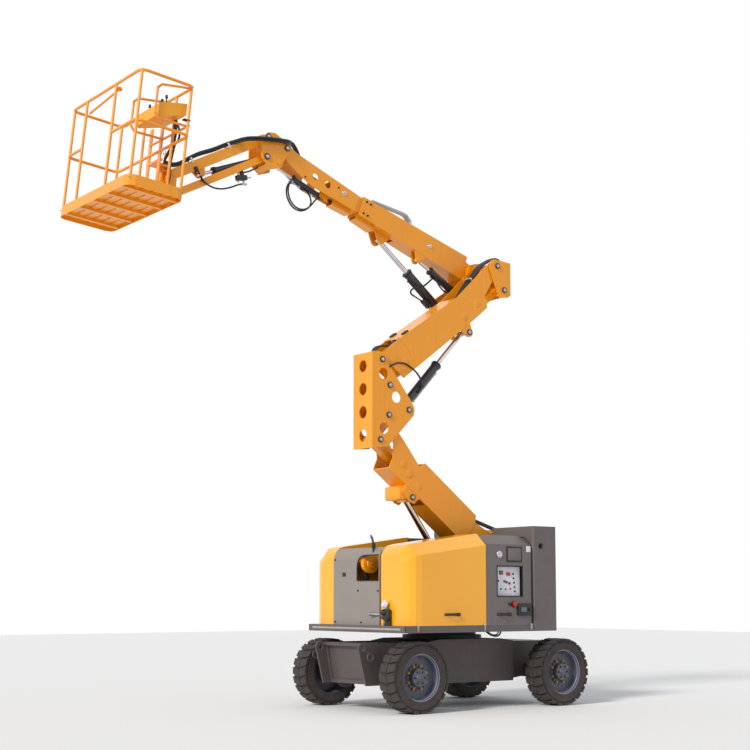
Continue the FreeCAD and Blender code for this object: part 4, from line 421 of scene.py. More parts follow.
def bare_metal(name, colour, clouded, rough, cloud, metallic=1.0):
    """A plated or bare metal, clouded in patches cloud metres wide."""
    material, tree, shader, place = new_finish(name)
    shader.inputs["Metallic"].default_value = metallic
    colours, clouds = mix_in_patches(
        tree, place, colour, clouded, {"Scale": 1.0 / cloud, "Detail": 4.0}, (0.35, 0.7), 0.7)
    fine = add_node(tree, "ShaderNodeTexNoise", {"Scale": 1.0 / METAL_SKIN, "Detail": 2.0}, {"Vector": place})
    plug_in(tree, shader, colours, clouds, (max(rough - 0.05, 0.03), rough + 0.1), fine.outputs["Fac"],
            0.08, 0.0004)
    return material


# Hard chrome: bright, cool and nearly a mirror.
rod_chrome = bare_metal("rod_hard_chrome", "D8DADF", "C4C7CD", 0.10, 0.2)
# Zinc plating on pins and hose fittings.
zinc_plate = bare_metal("zinc_plated_steel", "C3C6CB", "A7AAB0", 0.28, 0.05)
# Yellow-passivated zinc on the wheel nuts.
yellow_zinc = bare_metal("wheel_nut_yellow_zinc", "B08E58", "8E744B", 0.36, 0.03)
# Phosphated iron: nearly black and dull, on pin heads, axles and the slewing ring.
dark_iron = bare_metal("phosphated_iron", "2A282B", "1E1C1F", 0.5, 0.08, 0.35)
print("finishes in all", len(bpy.data.materials))

# %% [markdown]
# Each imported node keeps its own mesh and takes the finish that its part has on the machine. What isn't
# listed is part of the riser, boom or jib, and those are all sprayed in the boom's enamel.

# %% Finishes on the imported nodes
NODE_FINISH = {
    "chassis_frame": chassis_enamel, "front_axle": chassis_enamel, "rear_axle": chassis_enamel,
    "knuckle_left": chassis_enamel, "knuckle_right": chassis_enamel, "tie_rod": dark_iron,
    "slew_ring": dark_iron, "turret_base": table_enamel, "counterweight": cast_paint,
    "riser_tower": table_enamel, "engine_block": dark_iron, "ground_controls": panel_sheet,
    "front_cover": front_plastic, "hood_left": hood_gelcoat, "hood_right": hood_gelcoat,
    "rear_cover_left": cover_plastic, "rear_cover_right": cover_plastic,
    "boom_chain_guard": guard_enamel, "platform": rail_enamel, "platform_drop_bar": rail_enamel,
    "platform_controls": box_plastic,
}
for name, node in nodes.items():
    finish = NODE_FINISH.get(name, boom_enamel)
    if name.startswith("tyre_"):
        finish = tyre_rubber
    if name.startswith("rim_"):
        finish = rim_enamel
    if name.endswith("_barrel"):
        finish = barrel_enamel_painted_sky
    if name.endswith("_rod") and name != "tie_rod":
        finish = rod_chrome
    node.data.materials.clear()
    node.data.materials.append(finish)
print("nodes finished", len(nodes))

# %% [markdown]
# Every piece below is modelled as by hand: a primitive is added, its edges are bevelled in edit mode,
# and then its object is put back at the origin with the place kept in its mesh. A finished piece is
# shaded smooth wherever its faces meet at a small angle, named, given its finish, and hung on the body
# that carries it. Hoses and trims are smooth splines through a row of spots.

# %% Helpers for modelling


def start_clean():
    """Nothing stays selected, so that the next operator works on the new piece alone."""
    bpy.ops.object.select_all(action="DESELECT")


def round_edges(piece, edge, caps_only=False, segments=2):
    """Bevels the edges of a piece, or only those round its end faces."""
    bpy.context.tool_settings.mesh_select_mode = (False, False, True)
    for face in piece.data.polygons:
        face.select = not caps_only or len(face.vertices) > 4
    bpy.ops.object.mode_set(mode="EDIT")
    bpy.ops.mesh.bevel(offset=edge, segments=segments, affect="EDGES")
    bpy.ops.object.mode_set(mode="OBJECT")


def add_block(centre, size, edge=0.002, turn=0.0, heading=0.0):
    """A box with rounded edges, pitched up by turn and then turned by heading, in degrees."""
    start_clean()
    bpy.ops.mesh.primitive_cube_add(size=1.0)
    piece = bpy.context.object
    piece.scale = size
    bpy.ops.object.transform_apply(location=False, rotation=False, scale=True)
    if edge:
        round_edges(piece, edge)
    piece.rotation_euler = (0.0, -math.radians(turn), math.radians(heading))
    piece.location = centre
    return piece


def add_round(start, end, radius, tip=None, edge=0.0015, sides=24, segments=2):
    """A round bar between two places with rounded rims; tip is its radius at the end, where it tapers."""
    start_clean()
    run = Vector(end) - Vector(start)
    bpy.ops.mesh.primitive_cone_add(
        vertices=sides, radius1=radius, radius2=radius if tip is None else tip, depth=run.length)
    piece = bpy.context.object
    if edge:
        round_edges(piece, edge, caps_only=True, segments=segments)
    piece.rotation_euler = run.to_track_quat("Z", "Y").to_euler()
    piece.location = (Vector(start) + Vector(end)) / 2.0
    return piece


def add_ring(centre, facing, radius, thickness, sides=48):
    """A ring of round section that faces a given way."""
    start_clean()
    bpy.ops.mesh.primitive_torus_add(
        major_radius=radius, minor_radius=thickness, major_segments=sides, minor_segments=10)
    piece = bpy.context.object
    piece.rotation_euler = Vector(facing).to_track_quat("Z", "Y").to_euler()
    piece.location = centre
    return piece


def spots(*places):
    """Places in metres from the slewing axis at the floor, in the model's axes."""
    return [at(*place) for place in places]


def add_line(places, radius, resolution=3):
    """A curve object: one smooth NURBS spline with the places as its control points."""
    data = bpy.data.curves.new("line", "CURVE")
    data.dimensions = "3D"
    spline = data.splines.new("NURBS")
    spline.points.add(len(places) - 1)
    for point, place in zip(spline.points, places):
        point.co = (*place, 1.0)
    spline.order_u = 3
    spline.use_endpoint_u = True
    data.resolution_u = 10
    data.bevel_depth = radius
    data.bevel_resolution = resolution
    data.use_fill_caps = True
    piece = bpy.data.objects.new("line", data)
    bpy.context.scene.collection.objects.link(piece)
    return piece


def merge(parts):
    """Joins parts into one piece and puts its object at the origin."""
    bpy.context.view_layer.update()
    start_clean()
    for part in parts:
        part.select_set(True)
    bpy.context.view_layer.objects.active = parts[0]
    bpy.ops.object.convert(target="MESH")
    if len(parts) > 1:
        bpy.ops.object.join()
    bpy.ops.object.transform_apply(location=True, rotation=True, scale=True)
    return bpy.context.object


def paint(parts, name, finish, smooth=35.0):
    """Joins the parts into one piece, shades it, names it and gives it its finish."""
    piece = merge(parts if isinstance(parts, list) else [parts])
    bpy.ops.object.shade_smooth_by_angle(angle=math.radians(smooth))
    piece.name = name
    piece.data.name = name
    piece.data.materials.clear()
    piece.data.materials.append(finish)
    return piece


def settle(parts, name, body, finish, smooth=35.0):
    """Paints a piece and hangs it on the body that carries it."""
    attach(paint(parts, name, finish, smooth), body)


LEFT = Vector((0.0, 1.0, 0.0))
FORWARD = Vector((1.0, 0.0, 0.0))
UP = Vector((0.0, 0.0, 1.0))
SIDES = (("left", 1.0), ("right", -1.0))
print("helpers ready")

# %% [markdown]
# A bolt is a washer, a six-sided head and the end of its thread. It is modelled once, one unit across
# its head, and then copied to each place with its own mesh, scaled to the head that it needs.

# %% One bolt, to be copied
washer = add_round((0.0, 0.0, 0.0), (0.0, 0.0, 0.12), 0.62, edge=0.0, sides=16)
bolt_head = add_round((0.0, 0.0, 0.12), (0.0, 0.0, 0.62), 0.52, edge=0.06, sides=6, segments=1)
thread_end = add_round((0.0, 0.0, 0.60), (0.0, 0.0, 0.80), 0.26, edge=0.04, sides=8, segments=1)
bolt_mesh = merge([washer, bolt_head, thread_end]).data.copy()
bpy.ops.object.delete()


def add_bolts(places, facing, size):
    """Copies of the bolt at the places, size metres across the head, heads facing one way."""
    turn = Vector(facing).to_track_quat("Z", "Y").to_matrix().to_4x4()
    copies = []
    for place in places:
        copy = bpy.data.objects.new("bolt", bolt_mesh.copy())
        bpy.context.scene.collection.objects.link(copy)
        copy.matrix_world = Matrix.Translation(place) @ turn @ Matrix.Scale(size, 4)
        copies.append(copy)
    return copies


print("bolt faces", len(bolt_mesh.polygons))

# %% [markdown]
# Each wheel has eight nuts on their studs, a hub cap with a ring of small screws, a lip where the rim
# holds the tyre, painted paler as a painted highlight, and a valve. They ride on the wheel and turn with it.

# %% Wheel fittings
AXLES = {"front": 0.995, "rear": -0.975}
AXLE_HEIGHT = 0.36
RIM_LIP = 0.2375
NUT_CIRCLE = 0.120
SCREW_CIRCLE = 0.064
VALVE_CIRCLE = 0.196
WEB = 0.810
HUB_FACE = 0.870
RIM_EDGE = 0.882
# The lip's paler enamel is a painted highlight: the rim's own rolled edge, lighter where it catches the
# light.
rim_lip_painted_highlight = sprayed_enamel("rim_lip_painted_highlight", "8E91A2", "A0A2B0", "77798A", 0.36, 0.2, 0.5)
for end, axle in AXLES.items():
    for side, sign in SIDES:
        body = "wheel_" + end + "_" + side
        out = LEFT * sign

        def on_wheel(radius, turn, reach):
            angle = math.radians(turn)
            return at(axle + radius * math.cos(angle), sign * reach, AXLE_HEIGHT + radius * math.sin(angle))

        nuts = add_bolts([on_wheel(NUT_CIRCLE, 22.5 + 45.0 * k, WEB) for k in range(8)], out, 0.034)
        settle(nuts, body + "_nuts", body, yellow_zinc)
        screws = add_bolts([on_wheel(SCREW_CIRCLE, 60.0 * k, HUB_FACE) for k in range(6)], out, 0.016)
        settle(screws, body + "_hub_screws", body, dark_iron)
        cap = [add_round(on_wheel(0, 0, HUB_FACE - 0.004), on_wheel(0, 0, HUB_FACE + 0.008), 0.046, 0.040),
               add_round(on_wheel(0, 0, HUB_FACE + 0.006), on_wheel(0, 0, HUB_FACE + 0.014), 0.018, 0.014)]
        settle(cap, body + "_hub_cap", body, rim_enamel)
        lips = [add_ring(on_wheel(0, 0, RIM_EDGE), out, RIM_LIP, 0.0065, 64),
                add_ring(on_wheel(0, 0, RIM_EDGE - 0.020), out, RIM_LIP - 0.010, 0.0045, 64)]
        settle(lips, body + "_rim_lip", body, rim_lip_painted_highlight, 60.0)
        valve = add_round(on_wheel(VALVE_CIRCLE, 100.0, 0.815), on_wheel(VALVE_CIRCLE + 0.010, 100.0, 0.860),
                          0.006, 0.004)
        settle(valve, body + "_valve", body, zinc_plate)
print("wheel fittings made")

# %% [markdown]
# The chassis has collars round its tie-down holes. The turntable's front edge has a pale strip, a painted
# highlight, and a black block at each end, painted shade in its channel's ends; a circle of bolts shows under
# it, round the slewing ring.

# %% Chassis and turntable fittings
for side, sign in SIDES:
    collar = add_ring(at(1.330, sign * 0.487, 0.560), LEFT * sign, 0.037, 0.007, 32)
    settle(collar, "tie_down_collar_" + side, "chassis", chassis_enamel, 60.0)
# A pale strip along the turntable's front edge: a painted highlight where the edge catches the light.
strip = add_block(at(1.1735, 0.0, 0.839), (0.007, 1.56, 0.020), 0.002)
strip_painted_highlight = sprayed_enamel("edge_strip_painted_highlight", "A49B98", "B4ACA8", "8C8481", 0.45, 0.1, 0.5)
settle(strip, "turntable_strip", "turret", strip_painted_highlight)
# Black blocks at each end of the front edge: painted shade in the open ends of its channel.
corner_painted_shade = [add_block(at(1.168, sign * 0.8500, 0.843), (0.012, 0.006, 0.058), 0.002) for _, sign in SIDES]
settle(corner_painted_shade, "turntable_corner_painted_shade", "turret", black_nylon)
RING_BOLTS = 24
BOLT_CIRCLE = 0.380
BOLT_HEIGHT = 0.734
turns = [math.radians(360.0 / RING_BOLTS * k) for k in range(RING_BOLTS)]
circle = [at(BOLT_CIRCLE * math.cos(turn), BOLT_CIRCLE * math.sin(turn), BOLT_HEIGHT) for turn in turns]
settle(add_bolts(circle, -UP, 0.022), "slew_ring_bolts", "chassis", dark_iron)
print("chassis fittings made")

# %% [markdown]
# Steel pins join all the arms. Each pin's end is a black keeper with a bright centre, held on the plate
# by one small screw. One loop makes them from a table: the pin's name, the body, the place, the middle
# plane that the ends are measured from, and how far to the left and to the right the plates' faces are.

# %% Pin ends
KEEPER = 0.0335
BOOM_MIDDLE = -0.320
RISER_PLATE = 0.184
ARM_PLATE = 0.154
HEAD_PLATE = 0.144
SLAVE_PLATE = 0.105
lower_lug = lower_arm.at(0.791, -0.487)
upper_lug = upper_arm.at(1.249, -0.402)
lift_lug = boom.at(1.232, -0.182)
master_lug = boom.at(0.735, -0.205)
slave_pin = joint_at("jib_base_level") + Vector((0.105, 0.0, -0.170))
jib_lug = jib.at(0.891, -0.100)
PIN_ENDS = (
    ("tower_foot", "turret", joint_at("lower_lift"), 0.0, RISER_PLATE, -RISER_PLATE),
    ("mid_lower", "mid_pivot", joint_at("mid_pivot_level"), 0.0, RISER_PLATE, -RISER_PLATE),
    ("mid_lower_link", "mid_pivot", at(0.965, 0.0, 2.823), 0.0, RISER_PLATE, -RISER_PLATE),
    ("mid_upper", "mid_pivot", joint_at("upper_lift"), 0.0, RISER_PLATE, -RISER_PLATE),
    ("mid_upper_link", "mid_pivot", joint_at("upper_link_turn"), 0.0, RISER_PLATE, -RISER_PLATE),
    ("mid_cylinder", "mid_pivot", joint_at("upper_riser_pivot"), 0.0, RISER_PLATE, -RISER_PLATE),
    ("lower_lug", "lower_arm", lower_lug, 0.0, ARM_PLATE, -ARM_PLATE),
    ("upper_lug", "upper_arm", upper_lug, 0.0, ARM_PLATE, -ARM_PLATE),
    ("top_pivot", "upper_pivot", joint_at("upper_pivot_level"), 0.0, RISER_PLATE, None),
    ("top_pivot_link", "upper_pivot", at(-0.803, 0.0, 4.6523), 0.0, RISER_PLATE, None),
    ("boom_foot", "upper_pivot", joint_at("boom_lift"), 0.0, None, -0.498),
    ("head_pin", "jib_base", joint_at("jib_base_level"), BOOM_MIDDLE, HEAD_PLATE, -HEAD_PLATE),
    ("jib_top_pin", "jib_base", joint_at("jib_lift"), BOOM_MIDDLE, HEAD_PLATE, -HEAD_PLATE),
    ("jib_low_pin", "jib_base", joint_at("jib_lower_turn"), BOOM_MIDDLE, HEAD_PLATE, -HEAD_PLATE),
    ("slave_rod_pin", "jib_base", slave_pin, BOOM_MIDDLE, SLAVE_PLATE, -SLAVE_PLATE),
)
for name, body, place, middle, near, far in PIN_ENDS:
    for side, reach in (("left", near), ("right", far)):
        if reach is None:
            continue
        sign = 1.0 if side == "left" else -1.0
        face = Vector((place.x, slew.y + middle + reach, place.z))
        keeper = [add_round(face - LEFT * sign * 0.010, face + LEFT * sign * 0.0015, KEEPER + 0.0012, KEEPER)]
        keeper += add_bolts([face + Vector((0.022, 0.0, 0.012))], LEFT * sign, 0.008)
        settle(keeper, "pin_keeper_" + name + "_" + side, body, dark_iron)
        centre = [add_round(face, face + LEFT * sign * 0.0045, 0.0165, 0.0145),
                  add_ring(face + LEFT * sign * 0.002, LEFT, 0.0215, 0.0022, 28)]
        settle(centre, "pin_centre_" + name + "_" + side, body, zinc_plate)
print("pin ends made")

# %% [markdown]
# Draw latches hold the hoods and rear covers shut at their lower edges. Each is a zinc plate with two
# wires, and a small red cap. Each cover is pulled open by a black bow handle over a long foot, with a
# knob at its rear end. Latches sit on the turntable's edge, handles on the covers.

# %% Latches and handles
LATCH_HEIGHT = 0.838
HANDLE_OUT = 0.880
for side, sign in SIDES:
    for name, x in (("front", 1.005), ("middle", 0.120), ("rear", -0.535)):
        parts = [add_block(at(x, sign * 0.853, LATCH_HEIGHT), (0.022, 0.008, 0.062), 0.002)]
        for top, foot in ((-0.008, -0.004), (0.008, 0.004)):
            parts.append(add_round(at(x + top, sign * 0.860, LATCH_HEIGHT + 0.046),
                                   at(x + foot, sign * 0.862, LATCH_HEIGHT - 0.016), 0.0028))
        settle(parts, "latch_" + name + "_" + side, "turret", zinc_plate)
        cap = add_block(at(x - 0.002, sign * 0.860, LATCH_HEIGHT - 0.026), (0.016, 0.012, 0.020), 0.003)
        settle(cap, "latch_cap_" + name + "_" + side, "turret", switch_red)
    for name, low, high, z in (("hood", 0.459, 0.660, 0.985), ("rear_cover", -0.248, -0.052, 0.982)):
        middle = (low + high) / 2.0
        foot = add_block(at(middle, sign * 0.852, z), (high - low, 0.008, 0.026), 0.003)
        bow = ((low + 0.010, 0.850), (low + 0.016, HANDLE_OUT - 0.002), (middle, HANDLE_OUT),
               (high - 0.016, HANDLE_OUT - 0.002), (high - 0.010, 0.850))
        grip = add_line([at(x, sign * y, z) for x, y in bow], 0.0085)
        knob = add_block(at(low + 0.018, sign * 0.860, z), (0.040, 0.018, 0.034), 0.003)
        settle([foot, grip, knob], name + "_handle_" + side, name + "_" + side, black_nylon)
print("latches and handles made")

# %% [markdown]
# A rubber seal shows as a dark line wherever two covers meet. On the machine it is an edge trim pushed
# over the sheet. Here it is a thin round strip that follows the edge, a control point at each corner.

# %% Seals between the covers
REAR_JOINT = -0.572
HOOD_JOINT = 0.091
TUNNEL_LEFT = 0.362
TUNNEL_RIGHT = 0.481
for side, sign in SIDES:
    inner = TUNNEL_LEFT if sign > 0 else TUNNEL_RIGHT
    rear_edge = ((0.842, 0.885), (0.842, 1.640), (0.820, 1.720), (0.750, 1.790), (0.690, 1.816),
                 (inner, 1.816))
    rear_seal = add_line([at(REAR_JOINT, sign * y, z) for y, z in rear_edge], 0.0045, 2)
    settle(rear_seal, "seal_rear_" + side, "turret", seal_rubber)
    hood_edge = ((0.842, 0.885), (0.842, 1.690), (0.690, 1.812), (inner, 1.812))
    hood_seal = add_line([at(HOOD_JOINT, sign * y, z) for y, z in hood_edge], 0.004, 2)
    settle(hood_seal, "seal_hood_" + side, "turret", seal_rubber)
print("seals made")

# %% [markdown]
# The hoods and covers swing up on knuckle hinges along the tunnel between them. Each hinge is a leaf on
# the cover and a row of three knuckles.

# %% Hinges
HINGE_HEIGHT = 1.700
for side, sign, y in (("left", 1.0, 0.372), ("right", -1.0, -0.491)):
    for name, centres in (("hood", (0.28, 0.56)), ("rear_cover", (-0.44, -0.06))):
        for number, x in enumerate(centres):
            knuckles = []
            for step in range(3):
                start = x - 0.045 + 0.031 * step
                knuckles.append(add_round(
                    at(start, y, HINGE_HEIGHT), at(start + 0.028, y, HINGE_HEIGHT), 0.009, sides=16))
            knuckles.append(add_block(
                at(x, y + sign * 0.006, HINGE_HEIGHT - 0.019), (0.090, 0.004, 0.030), 0.001))
            settle(knuckles, name + "_hinge_" + str(number + 1) + "_" + side, name + "_" + side, black_nylon)
print("hinges made")

# %% [markdown]
# The grey front cover has an arched opening with a black rubber edge. Through it shows a yellow disc on
# a pin, held by a dark bearer on a post. A black lever with a grey end stands above it, and a slot and
# five screws are in the cover. What the disc does is a guess, since it shows only through the opening.

# %% Front cover fittings
ARCH = ((-0.040, 1.340), (-0.040, 1.470), (-0.034, 1.512), (-0.014, 1.554), (0.022, 1.582), (0.082, 1.598),
        (0.210, 1.598), (0.330, 1.598))
arch_trim = add_line([at(1.114, y, z) for y, z in ARCH], 0.007)
sill = add_round(at(1.113, -0.040, 1.333), at(1.113, 0.336, 1.333), 0.005)
settle([arch_trim, sill], "arch_trim", "turret", seal_rubber)
SCREWS = ((-0.025, 1.231), (0.327, 1.227), (0.032, 0.901), (-0.440, 0.901), (-0.440, 1.560))
cover_screws = add_bolts([at(1.112, y, z) for y, z in SCREWS], FORWARD, 0.016)
settle(cover_screws, "front_cover_screws", "turret", black_nylon)
slot_frame = add_block(at(1.113, -0.277, 1.402), (0.006, 0.062, 0.042), 0.002)
settle(slot_frame, "front_cover_slot", "turret", black_nylon)
DISC_X = 0.998
DISC_Z = 1.515
disc = [add_round(at(DISC_X, 0.005, DISC_Z), at(DISC_X, 0.055, DISC_Z), 0.104, 0.104, 0.006, 48),
        add_round(at(DISC_X, 0.055, DISC_Z), at(DISC_X, 0.064, DISC_Z), 0.056, 0.050, 0.002, 32)]
settle(disc, "tunnel_disc", "turret", boom_enamel)
disc_pin = [add_round(at(DISC_X, -0.030, DISC_Z), at(DISC_X, 0.074, DISC_Z), 0.012)]
disc_pin += add_bolts([at(DISC_X, 0.074, DISC_Z)], LEFT, 0.022)
settle(disc_pin, "tunnel_disc_pin", "turret", zinc_plate)
bearer = add_block(at(DISC_X, -0.035, DISC_Z - 0.035), (0.060, 0.050, 0.120), 0.004)
post = add_block(at(DISC_X, -0.035, 1.155), (0.050, 0.040, 0.560), 0.004)
settle([bearer, post], "tunnel_disc_bearer", "turret", dark_iron)
lever = [add_line(spots((1.080, 0.205, 1.600), (1.082, 0.205, 1.700), (1.080, 0.190, 1.760),
                   (1.086, 0.176, 1.790)), 0.012),
         add_block(at(1.080, 0.205, 1.700), (0.034, 0.030, 0.060), 0.004)]
settle(lever, "tunnel_lever", "turret", black_nylon)
lever_end = add_round(at(1.085, 0.180, 1.780), at(1.090, 0.168, 1.808), 0.0145, 0.011, 0.003)
settle(lever_end, "tunnel_lever_end", "turret", lens_grey)
print("front cover fittings made")

# %% [markdown]
# A socket for charging is on the lower part of the front cover: a black body on a plate, a pale round
# cap above it, a zinc arm to the side and a small yellow tag.

# %% Charging socket
socket_body = [add_block(at(1.128, 0.490, 0.985), (0.034, 0.120, 0.110), 0.008),
               add_block(at(1.120, 0.500, 0.900), (0.016, 0.100, 0.110), 0.005),
               add_round(at(1.130, 0.470, 1.000), at(1.163, 0.440, 1.010), 0.030, 0.026),
               add_round(at(1.130, 0.520, 0.940), at(1.158, 0.520, 0.936), 0.020, 0.018),
               add_block(at(1.134, 0.430, 0.955), (0.024, 0.045, 0.024), 0.004)]
settle(socket_body, "socket_body", "turret", black_nylon)
socket_cap = [add_round(at(1.122, 0.478, 1.082), at(1.158, 0.468, 1.104), 0.044, 0.036, 0.006, 32),
              add_block(at(1.124, 0.470, 1.056), (0.014, 0.040, 0.034), 0.004)]
settle(socket_cap, "socket_cap", "turret", panel_sheet)
socket_arm = [add_round(at(1.120, 0.368, 0.985), at(1.150, 0.240, 0.988), 0.011, 0.011, 0.003),
              add_round(at(1.150, 0.252, 0.988), at(1.150, 0.226, 0.988), 0.022, 0.018, 0.003)]
settle(socket_arm, "socket_arm", "turret", zinc_plate)
socket_tag = add_block(at(1.126, 0.420, 0.900), (0.010, 0.030, 0.026), 0.003)
settle(socket_tag, "socket_tag", "turret", hood_gelcoat)
print("charging socket made")

# %% [markdown]
# The ground controls are at the back of a window in the left rear cover. The window has a dark frame.
# On the pale panel are a two-line display, a red rocker, black push buttons and small coloured lamps.
# They stay blank: no words are on the machine.

# %% Ground controls
PANEL_FACE = 0.815


def panel_keys(name, finish, width, height, places, reach=0.007):
    """Square push buttons on the panel, one per place."""
    keys = [add_block(at(x, PANEL_FACE + reach / 2.0, z), (width, reach, height), 0.0015) for x, z in places]
    settle(keys, name, "turret", finish)


def panel_lamps(name, finish, places):
    """Round lamps in a collar on the panel."""
    lamps = [add_round(at(x, PANEL_FACE - 0.001, z), at(x, PANEL_FACE + 0.009, z), 0.0115, 0.009)
             for x, z in places]
    settle(lamps, name, "turret", finish)


panel_keys("panel_display", lens_grey, 0.044, 0.030, [(-0.146, 1.421)])
panel_keys("panel_display_frame", black_nylon, 0.056, 0.042, [(-0.146, 1.421)], 0.004)
panel_keys("panel_rocker", switch_red, 0.052, 0.034, [(-0.245, 1.406)], 0.010)
panel_keys("panel_keys_row", black_nylon, 0.024, 0.022,
           [(-0.099, 1.333), (-0.190, 1.330), (-0.222, 1.320), (-0.263, 1.308)])
panel_lamps("panel_buttons_column", black_nylon,
            [(-0.314, 1.408), (-0.320, 1.362), (-0.326, 1.316), (-0.332, 1.270), (-0.338, 1.225)])
panel_lamps("panel_lamps_red", switch_red, [(-0.076, 1.249), (-0.273, 1.251)])
panel_lamps("panel_lamps_green", switch_green, [(-0.139, 1.248), (-0.207, 1.248)])
FRAME_WIDTH = 0.012
REAR, FRONT = -0.417, -0.060
LOW, HIGH = 1.171, 1.489
BARS = ((REAR, HIGH, FRONT, HIGH), (REAR, LOW, FRONT, LOW), (REAR, LOW, REAR, HIGH),
        (FRONT, LOW, FRONT, HIGH))
bars = []
for x0, z0, x1, z1 in BARS:
    size = (x1 - x0 + FRAME_WIDTH, 0.006, z1 - z0 + FRAME_WIDTH)
    bars.append(add_block(at((x0 + x1) / 2.0, 0.8515, (z0 + z1) / 2.0), size, 0.0015))
settle(bars, "window_frame", "rear_cover_left", seal_rubber)
print("ground controls made")

# %% [markdown]
# Round the window sit the other fittings of the rear cover: a pressure gauge with a pale dial, a small
# hatch with its dark frame, a blank plate, a red stop button on a black base, and a switch box. Rings
# line the holes in the counterweight, and two hoses hang below the turntable's skirt.

# %% Rear cover fittings
gauge = [add_ring(at(-0.091, 0.856, 1.613), LEFT, 0.033, 0.006, 40),
         add_round(at(-0.091, 0.850, 1.613), at(-0.091, 0.856, 1.613), 0.034, sides=32)]
settle(gauge, "gauge_ring", "rear_cover_left", zinc_plate, 60.0)
dial = add_round(at(-0.091, 0.852, 1.613), at(-0.091, 0.8580, 1.613), 0.030)
settle(dial, "gauge_dial", "rear_cover_left", panel_sheet)
needle = add_block(at(-0.091, 0.8585, 1.613), (0.036, 0.002, 0.004), 0.0, 35.0)
settle(needle, "gauge_needle", "rear_cover_left", black_nylon)
hatch = add_block(at(-0.3015, 0.8510, 1.615), (0.223, 0.0100, 0.166), 0.004)
settle(hatch, "hatch_frame", "rear_cover_left", black_nylon)
hatch_door = [add_block(at(-0.3015, 0.8550, 1.615), (0.182, 0.0070, 0.128), 0.003),
              add_block(at(-0.3015, 0.8585, 1.615), (0.140, 0.0050, 0.088), 0.002)]
settle(hatch_door, "hatch_door", "rear_cover_left", cover_plastic)
plate = add_block(at(-0.507, 0.8520, 1.674), (0.060, 0.0040, 0.062), 0.001)
settle(plate, "blank_plate", "rear_cover_left", panel_sheet)
stop_base = [add_round(at(-0.289, 0.849, 1.089), at(-0.289, 0.862, 1.089), 0.034, 0.030),
             add_block(at(-0.235, 0.856, 1.089), (0.040, 0.014, 0.030), 0.003)]
settle(stop_base, "stop_base", "rear_cover_left", black_nylon)
stop_button = [add_round(at(-0.289, 0.858, 1.089), at(-0.289, 0.872, 1.089), 0.018, 0.018),
               add_round(at(-0.289, 0.868, 1.089), at(-0.289, 0.888, 1.089), 0.029, 0.025, 0.004, 32)]
settle(stop_button, "stop_button", "rear_cover_left", switch_red)
switch_box = [add_block(at(-0.4325, 0.8610, 1.031), (0.193, 0.0240, 0.128), 0.005),
              add_round(at(-0.505, 0.868, 1.034), at(-0.505, 0.890, 1.034), 0.020, 0.016, 0.003)]
settle(switch_box, "switch_box", "rear_cover_left", black_nylon)
switch_plate = add_block(at(-0.4175, 0.8735, 1.031), (0.075, 0.0040, 0.050), 0.001)
settle(switch_plate, "switch_plate", "rear_cover_left", lens_grey)
hole_rings = [add_ring(at(-0.690, sign * 0.851, 1.712), LEFT, 0.031, 0.003, 32) for _, sign in SIDES]
settle(hole_rings, "counterweight_hole_rings", "turret", dark_iron, 60.0)
skirt_hoses = [add_line(spots((0.050, 0.790, 0.805), (0.020, 0.815, 0.770), (-0.060, 0.825, 0.752),
                         (-0.120, 0.815, 0.765), (-0.160, 0.790, 0.806)), 0.009),
               add_line(spots((0.010, 0.770, 0.805), (-0.010, 0.795, 0.775), (-0.070, 0.800, 0.764),
                         (-0.120, 0.790, 0.780), (-0.140, 0.770, 0.806)), 0.007)]
settle(skirt_hoses, "skirt_hoses", "turret", hose_rubber)
print("rear cover fittings made")

# %% [markdown]
# Each cylinder has a gland at the open end of its barrel, a ring screwed into it that guides the rod, and
# a steel pipe with hex fittings along its side. A cylinder's own axis runs from the pin of its barrel to
# the pin of its rod, so the fittings are placed along that, and the barrel's end is read from its mesh.
# The table gives each cylinder's two pins, its middle plane, its barrel's radius, and whether its pipe
# lies above (1) or below (-1) the barrel.

# %% Cylinder fittings


def cylinder_axis(base, rod_pin):
    """The axis of a cylinder as a member, from the barrel's pin towards the rod's."""
    run = rod_pin - base
    return Member(base, math.degrees(math.atan2(run.z, run.x)))


def reach_of(node, member):
    """How far a node's mesh reaches along a member."""
    return max((corner.co - member.pivot).dot(member.along) for corner in nodes[node].data.vertices)


